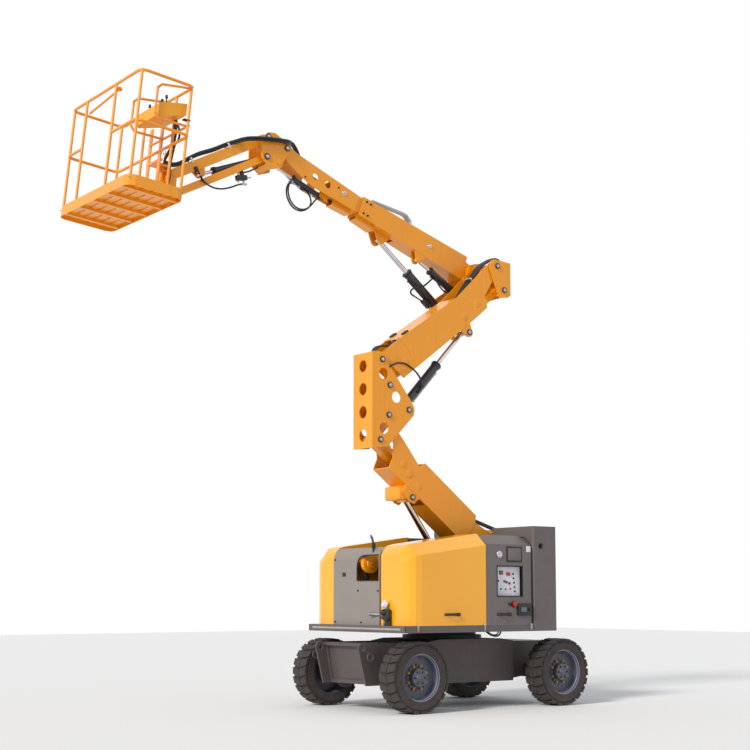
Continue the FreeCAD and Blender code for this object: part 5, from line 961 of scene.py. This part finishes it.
LIFT_MIDDLE = -0.364
MASTER_MIDDLE = -0.254
CYLINDERS = (
    ("lower_riser", joint_at("lower_riser_pivot"), lower_lug, 0.0, 0.055, -1.0),
    ("upper_riser", joint_at("upper_riser_pivot"), upper_lug, 0.0, 0.049, 1.0),
    ("boom_lift", joint_at("boom_lift_pivot"), lift_lug, LIFT_MIDDLE, 0.050, -1.0),
    ("levelling_master", joint_at("levelling_master_pivot"), master_lug, MASTER_MIDDLE, 0.038, -1.0),
    ("levelling_slave", joint_at("levelling_slave_pivot"), slave_pin, BOOM_MIDDLE, 0.032, -1.0),
    ("jib", joint_at("jib_pivot"), jib_lug, BOOM_MIDDLE, 0.034, -1.0),
)
axes = {}
for name, base, rod_pin, y, radius, side in CYLINDERS:
    flat_base = Vector((base.x, 0.0, base.z))
    axis = cylinder_axis(flat_base, Vector((rod_pin.x, 0.0, rod_pin.z)))
    axes[name] = axis
    middle = slew.y + y
    end = reach_of(name + "_barrel", axis)
    gland = [add_round(axis.at(end - 0.016, 0.0, middle), axis.at(end + 0.002, 0.0, middle), radius + 0.009,
                       sides=32)]
    for turn in range(0, 360, 60):
        lean = Vector((0.0, math.cos(math.radians(turn)), 0.0)) + axis.up * math.sin(math.radians(turn))
        gland += add_bolts([axis.at(end - 0.008, 0.0, middle) + lean * (radius + 0.007)], lean, 0.009)
    settle(gland, name + "_gland", name + "_barrel", dark_iron)
    offset = side * (radius + 0.011)
    run = ((0.30, side * radius), (0.31, offset), (0.34, offset), (0.60, offset), (0.86, offset),
           (0.89, offset),
           (0.90, side * radius))
    pipe = [add_line([axis.at(share * end, n, middle) for share, n in run], 0.007)]
    for share in (0.30, 0.90):
        pipe.append(add_round(axis.at(share * end, side * (radius - 0.004), middle),
                              axis.at(share * end, side * (radius + 0.020), middle), 0.014, sides=6,
                              edge=0.002))
    pale = name in ("upper_riser", "levelling_slave")
    settle(pipe, name + "_pipe", name + "_barrel", zinc_plate if pale else dark_iron)
print("cylinder fittings made")

# %% [markdown]
# The lift cylinder has a load-holding valve: a small black block under the barrel with a brass-coloured
# pipe, and a hose that runs up from it beside the barrel. The levelling cylinder has a hose of its own.
# Their routes are given along the cylinder, square to it, and across from its middle.

# %% Load-holding valve of the lift cylinder
lift = axes["boom_lift"]
lift_y = slew.y + LIFT_MIDDLE
valve = [add_block(lift.at(0.360, -0.080, lift_y), (0.110, 0.056, 0.050), 0.004, lift.degrees),
         add_round(lift.at(0.330, -0.080, lift_y + 0.024), lift.at(0.330, -0.080, lift_y + 0.052), 0.016,
                   sides=6),
         add_round(lift.at(0.395, -0.095, lift_y), lift.at(0.440, -0.105, lift_y), 0.014, sides=6)]
settle(valve, "lift_valve", "boom_lift_barrel", black_nylon)
valve_pipe = [add_line([lift.at(0.300, -0.085, lift_y), lift.at(0.250, -0.092, lift_y),
                        lift.at(0.235, -0.070, lift_y), lift.at(0.235, -0.045, lift_y)], 0.008),
              add_line([lift.at(0.430, -0.104, lift_y), lift.at(0.480, -0.120, lift_y + 0.010),
                        lift.at(0.560, -0.150, lift_y + 0.020)], 0.009)]
settle(valve_pipe, "lift_valve_pipe", "boom_lift_barrel", yellow_zinc)
LIFT_HOSE = ((0.545, -0.145, 0.020), (0.620, -0.180, 0.030), (0.640, -0.120, 0.075), (0.560, -0.040, 0.085),
             (0.530, 0.060, 0.085), (0.520, 0.150, 0.100), (0.500, 0.205, 0.110))
lift_hose = add_line([lift.at(s, n, lift_y + y) for s, n, y in LIFT_HOSE], 0.010)
settle(lift_hose, "lift_hose", "boom_lift_barrel", hose_rubber)
master = axes["levelling_master"]
master_y = slew.y + MASTER_MIDDLE
MASTER_HOSE = ((0.170, -0.040, 0.020), (0.210, -0.090, 0.024), (0.300, -0.100, 0.024), (0.400, -0.060, 0.020),
               (0.430, -0.036, 0.016))
master_hose = add_line([master.at(s, n, master_y + y) for s, n, y in MASTER_HOSE], 0.009)
settle(master_hose, "master_hose", "levelling_master_barrel", hose_rubber)
print("lift valve and hoses made")

# %% [markdown]
# Hydraulic hoses end in a crimped steel ferrule and a hex nut. Hoses that run together are held by
# clamps: a pale band round the bundle, bolted to the arm; here the band has its bolt on top and no foot.
# One helper makes the ferrule, one the clamp, and one a bundle of hoses that keep beside one another along a
# route.

# %% Hose helpers


def add_ferrule(place, way, radius):
    """A crimped ferrule and its nut on a hose's end, the nut further along the way."""
    way = Vector(way).normalized()
    sleeve = add_round(place - way * 0.040, place, radius * 1.28, sides=16)
    nut = add_round(place, place + way * 0.018, radius * 1.55, sides=6, edge=0.002)
    return [sleeve, nut]


def add_bundle(route, radius, shifts):
    """Hoses side by side on one route; each shift moves one hose off it."""
    return [add_line([place + Vector(shift) for place in route], radius) for shift in shifts]


def add_clamp(member, s, n, y, width, height):
    """A band over a bundle that lies on a member, with a bolt on its top; it has no foot."""
    band = [add_block(member.at(s, n + height / 2.0, y), (0.022, width, 0.006), 0.002, member.degrees),
            add_block(member.at(s, n, y + width / 2.0), (0.022, 0.006, height), 0.002, member.degrees),
            add_block(member.at(s, n, y - width / 2.0), (0.022, 0.006, height), 0.002, member.degrees)]
    return band + add_bolts([member.at(s, n + height / 2.0 + 0.003, y)], member.up, 0.014)


HOSE_RADIUS = 0.0125
# Clamps: zinc plating under a pale passivation, a little yellow and not very shiny.
pale_zinc = bare_metal("clamp_pale_zinc", "D9D3B8", "BDB59A", 0.40, 0.05, 0.5)
print("hose helpers ready")

# %% [markdown]
# Three hoses leave the foot of the lower arm, three lie on the upper arm under a clamp, and four run from
# the upper arm over its end and down into the upper pivot. That last bundle's shape is baked into its
# mesh where it lies, and it is hung on no body.

# %% Hoses of the lower and upper arm
foot_route = spots((-0.300, 0.100, 1.990), (-0.345, 0.100, 2.012), (-0.442, 0.100, 1.985),
                   (-0.565, 0.100, 1.948),
              (-0.689, 0.100, 1.910), (-0.780, 0.098, 1.890), (-0.860, 0.095, 1.840), (-0.880, 0.095, 1.740))
foot_hoses = add_bundle(foot_route, 0.011, ((0, 0, 0), (0, -0.026, 0.004), (0, -0.013, 0.022)))
settle(foot_hoses, "arm_foot_hoses", "lower_arm", hose_rubber)
arm_route = spots((0.985, 0.070, 3.690), (0.990, 0.070, 3.760), (0.950, 0.070, 3.822), (0.870, 0.070, 3.850),
             (0.780, 0.070, 3.858), (0.695, 0.070, 3.880), (0.611, 0.070, 3.918), (0.506, 0.070, 3.975),
             (0.430, 0.070, 4.020))
arm_hoses = add_bundle(arm_route, 0.011, ((0, 0, 0), (0, -0.028, 0.002), (0, 0.022, -0.004)))
settle(arm_hoses, "upper_arm_hoses", "upper_arm", hose_rubber)
settle(add_clamp(upper_arm, 0.345, 0.028, 0.067, 0.096, 0.060), "upper_arm_hose_clamp", "upper_arm",
       pale_zinc)
stop_pads = [add_block(upper_arm.at(0.485, 0.040, y), (0.075, 0.060, 0.050), 0.005, upper_arm.degrees)
             for y in (0.105, -0.105)]
settle(stop_pads, "upper_arm_stop_pads", "upper_arm", black_nylon)
ON_ARM = ((1.330, -0.090), (1.457, -0.050), (1.640, 0.015), (1.829, 0.048), (1.945, 0.085))
over_route = [upper_arm.at(s, n) for s, n in ON_ARM]
over_route += spots((-0.690, 0.0, 5.000), (-0.770, 0.0, 5.040), (-0.850, 0.0, 5.020), (-0.872, 0.0, 4.940),
               (-0.872, -0.010, 4.820))
over_hoses = add_bundle(over_route, HOSE_RADIUS,
                        ((0, 0.055, 0), (0, 0.027, 0.004), (0, -0.001, 0), (0, -0.028, 0.004)))
over_pivot = paint(over_hoses, "upper_pivot_hoses", hose_rubber)
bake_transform(over_pivot)
settle(add_clamp(upper_arm, 1.700, 0.030, 0.014, 0.130, 0.062), "over_pivot_clamp", "upper_arm", pale_zinc)
print("arm hoses made")

# %% [markdown]
# The lower arm's front end carries a yellow cross block over the cylinder's eye, and the flat sides of
# both arms show round weld discs where the inner bosses come through. The discs are thin plates.

# %% Cross block and weld discs
cross_block = add_block(at(0.615, 0.0, 2.272), (0.140, 0.262, 0.150), 0.018)
settle(cross_block, "lower_arm_cross_block", "lower_arm", boom_enamel)
DISCS = (
    ("lower_arm", 0.1500, ((0.430, 2.349), (0.643, 2.585), (0.560, 2.480))),
    ("upper_arm", 0.1460, ((0.601, 3.700), (-0.412, 4.449))),
    ("upper_arm", 0.1500, ((-0.222, 4.290),)),
)
for index, (body, face, places) in enumerate(DISCS):
    discs = []
    for x, z in places:
        for _, sign in SIDES:
            discs.append(add_round(at(x, sign * (face - 0.002), z), at(x, sign * (face + 0.0022), z),
                                   0.043, 0.0415, 0.001, 40))
    settle(discs, "weld_discs_" + str(index + 1), body, boom_enamel)
print("block and discs made")

# %% [markdown]
# A hose leaves the mid pivot from behind its plate and swings over to the upper riser cylinder. It is a
# free loop, so its length is measured and said. It runs from the pivot to the barrel; its shape is baked
# into its mesh where it lies, and it is hung on no body.

# %% The mid pivot's hose loop


def cord_line(places, name):
    """The points along the smooth spline that has these places as control points."""
    line = add_line(places, 0.0)
    bpy.context.view_layer.update()
    mesh = bpy.data.meshes.new_from_object(line)
    points = [tuple(corner.co) for corner in mesh.vertices]
    bpy.data.objects.remove(line)
    bpy.data.meshes.remove(mesh)
    length = sum((Vector(b) - Vector(a)).length for a, b in zip(points, points[1:]))
    print(name, "length", round(length, 3))
    return points


riser = axes["upper_riser"]
loop_route = [at(0.845, 0.176, 3.610), at(0.765, 0.182, 3.660), at(0.650, 0.180, 3.668),
              at(0.526, 0.155, 3.630),
              at(0.418, 0.120, 3.580), at(0.341, 0.085, 3.520), at(0.330, 0.068, 3.470),
              riser.at(0.360, 0.010, slew.y + 0.062), riser.at(0.310, 0.010, slew.y + 0.060)]
mid_loop = paint(add_line(loop_route, 0.010), "mid_pivot_hose", hose_rubber)
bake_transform(mid_loop)
mid_line = cord_line(loop_route, "mid_pivot_hose")
riser_tee = [add_round(riser.at(0.400, 0.0, slew.y + 0.040), riser.at(0.400, 0.0, slew.y + 0.066), 0.018,
                       sides=6),
             add_block(riser.at(0.330, 0.0, slew.y + 0.052), (0.050, 0.022, 0.034), 0.004, riser.degrees)]
settle(riser_tee, "riser_port", "upper_riser_barrel", dark_iron)
print("mid pivot hose made")

# %% [markdown]
# The levelling cylinder under the boom's head is fed by two hoses. One runs from its gland, round in a
# wide ring and into the tray under the boom. The other comes from its rear port, follows the same ring
# and ends at the gland. They hang free, so both are cords with a measured length.

# %% Hose rings at the boom's head


def free_hose(name, body, route, diameter):
    """A free hose: a curve on its route, hung on a body, with the length of its route printed."""
    piece = add_line(route, diameter / 2.0, 4)
    piece.name = name
    piece.data.materials.append(hose_rubber)
    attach(piece, body)
    exit_place = cord_line(route, name)[0]


FREE_HOSE = 0.018
slave = axes["levelling_slave"]
slave_y = slew.y + BOOM_MIDDLE
ring_a = [slave.at(0.395, -0.030, slave_y + 0.012), slave.at(0.430, -0.070, slave_y + 0.030),
          at(1.835, -0.280, 5.560), at(1.862, -0.275, 5.470), at(1.838, -0.270, 5.360),
          at(1.750, -0.270, 5.285),
          at(1.640, -0.272, 5.290), at(1.560, -0.275, 5.350), at(1.505, -0.280, 5.425),
          at(1.430, -0.285, 5.470),
          at(1.340, -0.290, 5.462), at(1.265, -0.295, 5.430)]
free_hose("slave_hose_front", "boom_inner", ring_a, FREE_HOSE)
ring_b = [slave.at(0.300, -0.034, slave_y + 0.006), slave.at(0.285, -0.064, slave_y + 0.010),
          at(1.600, -0.312, 5.520), at(1.545, -0.310, 5.450), at(1.538, -0.306, 5.380),
          at(1.590, -0.302, 5.310),
          at(1.690, -0.300, 5.270), at(1.790, -0.300, 5.300), at(1.850, -0.304, 5.390),
          at(1.862, -0.308, 5.480),
          at(1.830, -0.314, 5.560), slave.at(0.405, -0.060, slave_y),
          slave.at(0.372, -0.034, slave_y - 0.006)]
free_hose("slave_hose_rear", "boom_inner", ring_b, FREE_HOSE)
to_port = slave.at(0.30) - slave.at(0.34, -0.03)
ends = add_ferrule(slave.at(0.408, -0.046, slave_y + 0.018), to_port, FREE_HOSE / 2.0)
for port, bent in ((0.300, (0.296, -0.058, 0.008)), (0.385, (0.396, -0.052, 0.010))):
    s, n, y = bent
    ends.append(add_round(slave.at(port, -0.028, slave_y + 0.006), slave.at(s, n, slave_y + y), 0.0135,
                          sides=6))
settle(ends, "slave_hose_ends", "boom_inner", zinc_plate)
tray_end = add_ferrule(at(1.300, -0.292, 5.446), (-0.94, 0.0, -0.34), FREE_HOSE / 2.0)
settle(tray_end, "tray_hose_end", "boom_inner", dark_iron)
print("hose rings made")

# %% [markdown]
# The boom's sides carry the screws of its wear pads, two silver plugs, and small bolts. Four bolts hold
# the guard over the cables.

# %% Boom screws, plug and guard bolts
BOOM_HALF = 0.110
SCREW_ROWS = (
    ("wear_pad_screws", "boom_outer", 0.020,
     ((1.600, 0.070), (1.600, -0.070), (1.540, 0.070), (1.540, -0.070))),
    ("boom_head_screws", "boom_inner", 0.016, ((2.420, -0.060), (1.990, 0.040))),
)
for name, body, size, places in SCREW_ROWS:
    screws = []
    for _, sign in SIDES:
        screws += add_bolts([boom.at(s, n, sign * BOOM_HALF) for s, n in places], LEFT * sign, size)
    settle(screws, name, body, dark_iron)
for body, s, n in (("boom_outer", 0.640, 0.010), ("boom_inner", 1.900, 0.020)):
    plug = []
    for _, sign in SIDES:
        out = sign * BOOM_HALF
        plug.append(add_round(boom.at(s, n, out - sign * 0.002), boom.at(s, n, out + sign * 0.005),
                              0.029, 0.026, 0.001, 32))
        plug += add_bolts([boom.at(s, n, out + sign * 0.004)], LEFT * sign, 0.018)
    settle(plug, body.replace("boom_", "boom_plug_"), body, zinc_plate)
guard_bolts = add_bolts([boom.at(s, 0.150, y) for s in (0.950, 1.490) for y in (-0.020, 0.020)], boom.up,
                        0.018)
settle(guard_bolts, "guard_bolts", "boom_outer", zinc_plate)
print("boom screws made")

# %% [markdown]
# The jib's hoses come out of the boom, pass beside the head bracket and run along the top of the jib to
# the platform. Each hose is split at the joints: one stretch runs between boom and bracket, the next
# between bracket and jib, one lies still on the jib, and the last two run to the jib's head and to the
# platform, where one hose fewer arrives. All are made by one loop from a table: the name, the body, the
# next body, the route, and two places where it would bend, which the loop does not use. A stretch with a
# next body is baked into its mesh where it lies and hung on no body; the one on the jib rides on it.

# %% Hose bundle along the jib
BUNDLE = ((0.0, 0.0, 0.0), (0.0, 0.010, 0.023), (0.0, -0.020, 0.012))
over_bracket = spots((1.700, -0.300, 5.840), (1.735, -0.300, 5.915), (1.785, -0.290, 5.965),
                     (1.850, -0.250, 5.968),
                (1.905, -0.180, 5.945), (1.975, -0.150, 5.936), (2.070, -0.148, 5.928))
to_jib = spots((2.070, -0.148, 5.928), (2.160, -0.148, 5.920), (2.260, -0.148, 5.908), (2.350, -0.155, 5.895),
          (2.430, -0.185, 5.885), (2.496, -0.225, 5.865), (2.552, -0.255, 5.840))
on_jib = spots((2.552, -0.255, 5.840), (2.620, -0.275, 5.812), (2.711, -0.290, 5.762), (2.800, -0.292, 5.715),
          (2.890, -0.292, 5.678), (2.967, -0.290, 5.640), (3.044, -0.288, 5.592), (3.110, -0.286, 5.545),
          (3.162, -0.285, 5.512))
to_head = spots((3.162, -0.285, 5.512), (3.210, -0.284, 5.488), (3.260, -0.282, 5.480),
                (3.310, -0.275, 5.478),
           (3.345, -0.262, 5.485))
to_box = spots((3.345, -0.262, 5.485), (3.372, -0.220, 5.495), (3.388, -0.130, 5.520), (3.396, -0.040, 5.560),
          (3.398, 0.030, 5.610), (3.410, 0.085, 5.680), (3.440, 0.130, 5.740), (3.470, 0.150, 5.790))
STRETCHES = (
    ("jib_hoses_at_boom", "boom_inner", "jib_base", over_bracket, at(1.780, -0.3, 5.930),
     at(1.990, -0.15, 5.940)),
    ("jib_hoses_at_bracket", "jib_base", "jib_upper_arm", to_jib, at(2.090, -0.15, 5.930),
     at(2.420, -0.15, 5.890)),
    ("jib_hoses_on_arm", "jib_upper_arm", None, on_jib, None, None),
    ("jib_hoses_at_head", "jib_upper_arm", "jib_head", to_head, at(3.170, -0.28, 5.510),
     at(3.330, -0.28, 5.480)),
    ("jib_hoses_to_box", "jib_head", "platform", to_box, at(3.350, -0.250, 5.490), at(3.398, 0.000, 5.570)),
)
for name, body, next_body, route, start, end in STRETCHES:
    shifts = BUNDLE if name != "jib_hoses_to_box" else BUNDLE[:2]
    bundle = paint(add_bundle(route, HOSE_RADIUS, shifts), name, hose_rubber)
    if next_body:
        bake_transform(bundle)
    else:
        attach(bundle, body)
settle(add_clamp(jib, 0.470, 0.058, 0.040, 0.080, 0.060), "jib_clamp_rear", "jib_upper_arm", pale_zinc)
settle(add_clamp(jib, 0.960, 0.058, 0.034, 0.080, 0.056), "jib_clamp_front", "jib_upper_arm", pale_zinc)
print("jib hoses made")

# %% [markdown]
# A valve block hangs under the lower jib arm: black steel with zinc fittings on top, below and behind.
# The fittings' table gives the two ends of each, its radius and how many sides it has. A hose comes to
# the block from the bracket, and another leaves it in a shallow bow towards the platform.

# %% Valve block under the jib
VALVE_Y = -0.262
jib_valve = [add_block(at(2.447, VALVE_Y, 5.495), (0.118, 0.060, 0.052), 0.005, -9.0),
             add_block(at(2.440, -0.275, 5.550), (0.046, 0.030, 0.060), 0.003, -20.0)]
settle(jib_valve, "jib_valve_block", "jib_lower_arm", black_nylon)
FITTINGS = (
    (2.392, 5.506, 2.330, 5.520, 0.008, 12),
    (2.392, 5.504, 2.368, 5.509, 0.015, 6),
    (2.478, 5.515, 2.482, 5.548, 0.013, 6),
    (2.420, 5.475, 2.414, 5.448, 0.013, 6),
    (2.485, 5.466, 2.482, 5.440, 0.013, 6),
    (2.380, 5.437, 2.440, 5.430, 0.012, 12),
)
fittings = [add_round(at(x0, VALVE_Y, z0), at(x1, VALVE_Y, z1), radius, sides=sides)
            for x0, z0, x1, z1, radius, sides in FITTINGS]
settle(fittings, "jib_valve_fittings", "jib_lower_arm", zinc_plate)
valve_feed = add_line([at(2.250, VALVE_Y, 5.640), at(2.300, VALVE_Y, 5.612), at(2.370, VALVE_Y, 5.572),
                       at(2.430, VALVE_Y, 5.556), at(2.482, VALVE_Y, 5.556), at(2.484, VALVE_Y, 5.532)],
                       0.009)
settle(valve_feed, "jib_valve_feed", "jib_lower_arm", hose_rubber)
bow = [at(2.425, VALVE_Y, 5.434), at(2.480, -0.258, 5.420), at(2.570, -0.250, 5.372),
       at(2.680, -0.236, 5.330),
       at(2.780, -0.226, 5.318), at(2.860, -0.222, 5.335), at(2.915, -0.222, 5.368), at(2.935, -0.225, 5.395)]
free_hose("jib_bow_hose", "jib_lower_arm", bow, FREE_HOSE)
bow_end = add_ferrule(at(2.940, -0.226, 5.402), (0.35, 0.0, 0.9), FREE_HOSE / 2.0)
settle(bow_end, "jib_bow_end", "jib_lower_arm", dark_iron)
lug_stub = [add_line(spots((2.950, -0.248, 5.440), (2.958, -0.250, 5.470), (2.985, -0.258, 5.492)), 0.009),
            add_block(at(2.985, VALVE_Y, 5.490), (0.040, 0.030, 0.050), 0.003, -28.0)]
settle(lug_stub, "jib_lug_hose", "jib_upper_arm", black_nylon)
print("jib valve made")

# %% [markdown]
# On the platform are the operator's things: a black grip and two joysticks on the control box, a stop
# button, two rows of blank keys on its sloping face, a pad at its side, the hoses under it, a ring for a
# lanyard, and bolts at the feet of the posts. Places on the box are given from the floor's rear edge,
# forward and up, and across from the box's middle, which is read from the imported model.

# %% Platform fittings
BOX_REAR, BOX_REAR_TOP = 0.0343, 0.985
BOX_FRONT, BOX_FRONT_TOP = 0.290, 0.925
box_low, box_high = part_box("platform_controls")
box_middle = (box_low[1] + box_high[1]) / 2.0


def on_box(x, y, z):
    """A place on the platform: x forward and z up from the deck's rear edge, y from the box's middle."""
    return deck.pivot + deck.along * x + deck.up * z + Vector((0.0, box_middle - deck.pivot.y + y, 0.0))


def top_of_box(x):
    """The height of the box's sloping face over the deck, at x forward."""
    share = (x - BOX_REAR) / (BOX_FRONT - BOX_REAR)
    return BOX_REAR_TOP + (BOX_FRONT_TOP - BOX_REAR_TOP) * share


KEY_SLOPE = DECK_TILT - 13.2
KEY_STEP = 0.052
keys = []
for x in (0.120, 0.175):
    for step in range(5):
        place = on_box(x, -0.150 + KEY_STEP * step, top_of_box(x) + 0.002)
        keys.append(add_block(place, (0.026, 0.026, 0.010), 0.002, KEY_SLOPE))
settle(keys, "box_keys", "platform", black_nylon)
stick_feet = []
stick_knobs = []
for y in (-0.175, 0.165):
    foot = on_box(0.225, y, top_of_box(0.225))
    stick_feet.append(add_round(foot - UP * 0.004, foot + UP * 0.020, 0.024, 0.014))
    stick_feet.append(add_round(foot + UP * 0.010, foot + UP * 0.062, 0.006, 0.006))
    stick_knobs.append(add_round(foot + UP * 0.056, foot + UP * 0.090, 0.014, 0.011, 0.004))
settle(stick_feet, "box_joystick_boots", "platform", seal_rubber)
settle(stick_knobs, "box_joystick_knobs", "platform", black_nylon)
STOP_X = 0.215
stop_foot = on_box(STOP_X, 0.060, top_of_box(STOP_X))
box_stop = add_round(stop_foot, stop_foot + deck.up * 0.024, 0.019, 0.017, 0.003)
settle(box_stop, "box_stop_button", "platform", switch_red)
grip = [add_line([on_box(0.110, -0.205, 0.940), on_box(0.108, -0.200, 1.020), on_box(0.100, -0.190, 1.090),
                  on_box(0.105, -0.180, 1.130)], 0.0145, 4),
        add_round(on_box(0.110, -0.205, 0.955), on_box(0.110, -0.205, 0.985), 0.024, 0.018, 0.003)]
settle(grip, "box_grip", "platform", black_nylon)
strands = [spots((3.470, 0.185, 5.800), (3.452, 0.195, 5.740), (3.436, 0.206, 5.690), (3.418, 0.175, 5.630),
            (3.404, 0.110, 5.598), (3.398, 0.050, 5.590)),
           spots((3.398, 0.050, 5.590), (3.388, 0.000, 5.540), (3.378, -0.050, 5.480), (3.368, -0.095, 5.420),
            (3.360, -0.120, 5.350), (3.358, -0.120, 5.290), (3.362, -0.150, 5.240), (3.364, -0.215, 5.205))]
settle([add_line(strand, 0.011) for strand in strands], "box_hoses", "platform", hose_rubber)
box_glands = [add_round(at(3.470, y, 5.800), at(3.464, y, 5.762), 0.018, 0.015, sides=16)
              for y in (0.150, 0.185)]
settle(box_glands, "box_hose_glands", "platform", dark_iron)
post_feet = []
for x, way in ((0.017, -1.0), (0.587, 1.0)):
    feet = [deck.at(x, 0.075, y) for y in (-0.751, -0.405, 0.234, 0.751)]
    post_feet += add_bolts(feet, FORWARD * way, 0.014)
settle(post_feet, "post_foot_bolts", "platform", zinc_plate)
settle(add_ring(deck.at(0.035, 0.600, 0.300), FORWARD, 0.030, 0.005, 28), "lanyard_ring", "platform",
       zinc_plate, 60.0)
pad = add_block(on_box(0.050, 0.270, 0.800), (0.070, 0.050, 0.012), 0.003, DECK_TILT)
settle(pad, "box_side_pad", "platform", black_nylon)
print("platform fittings made")
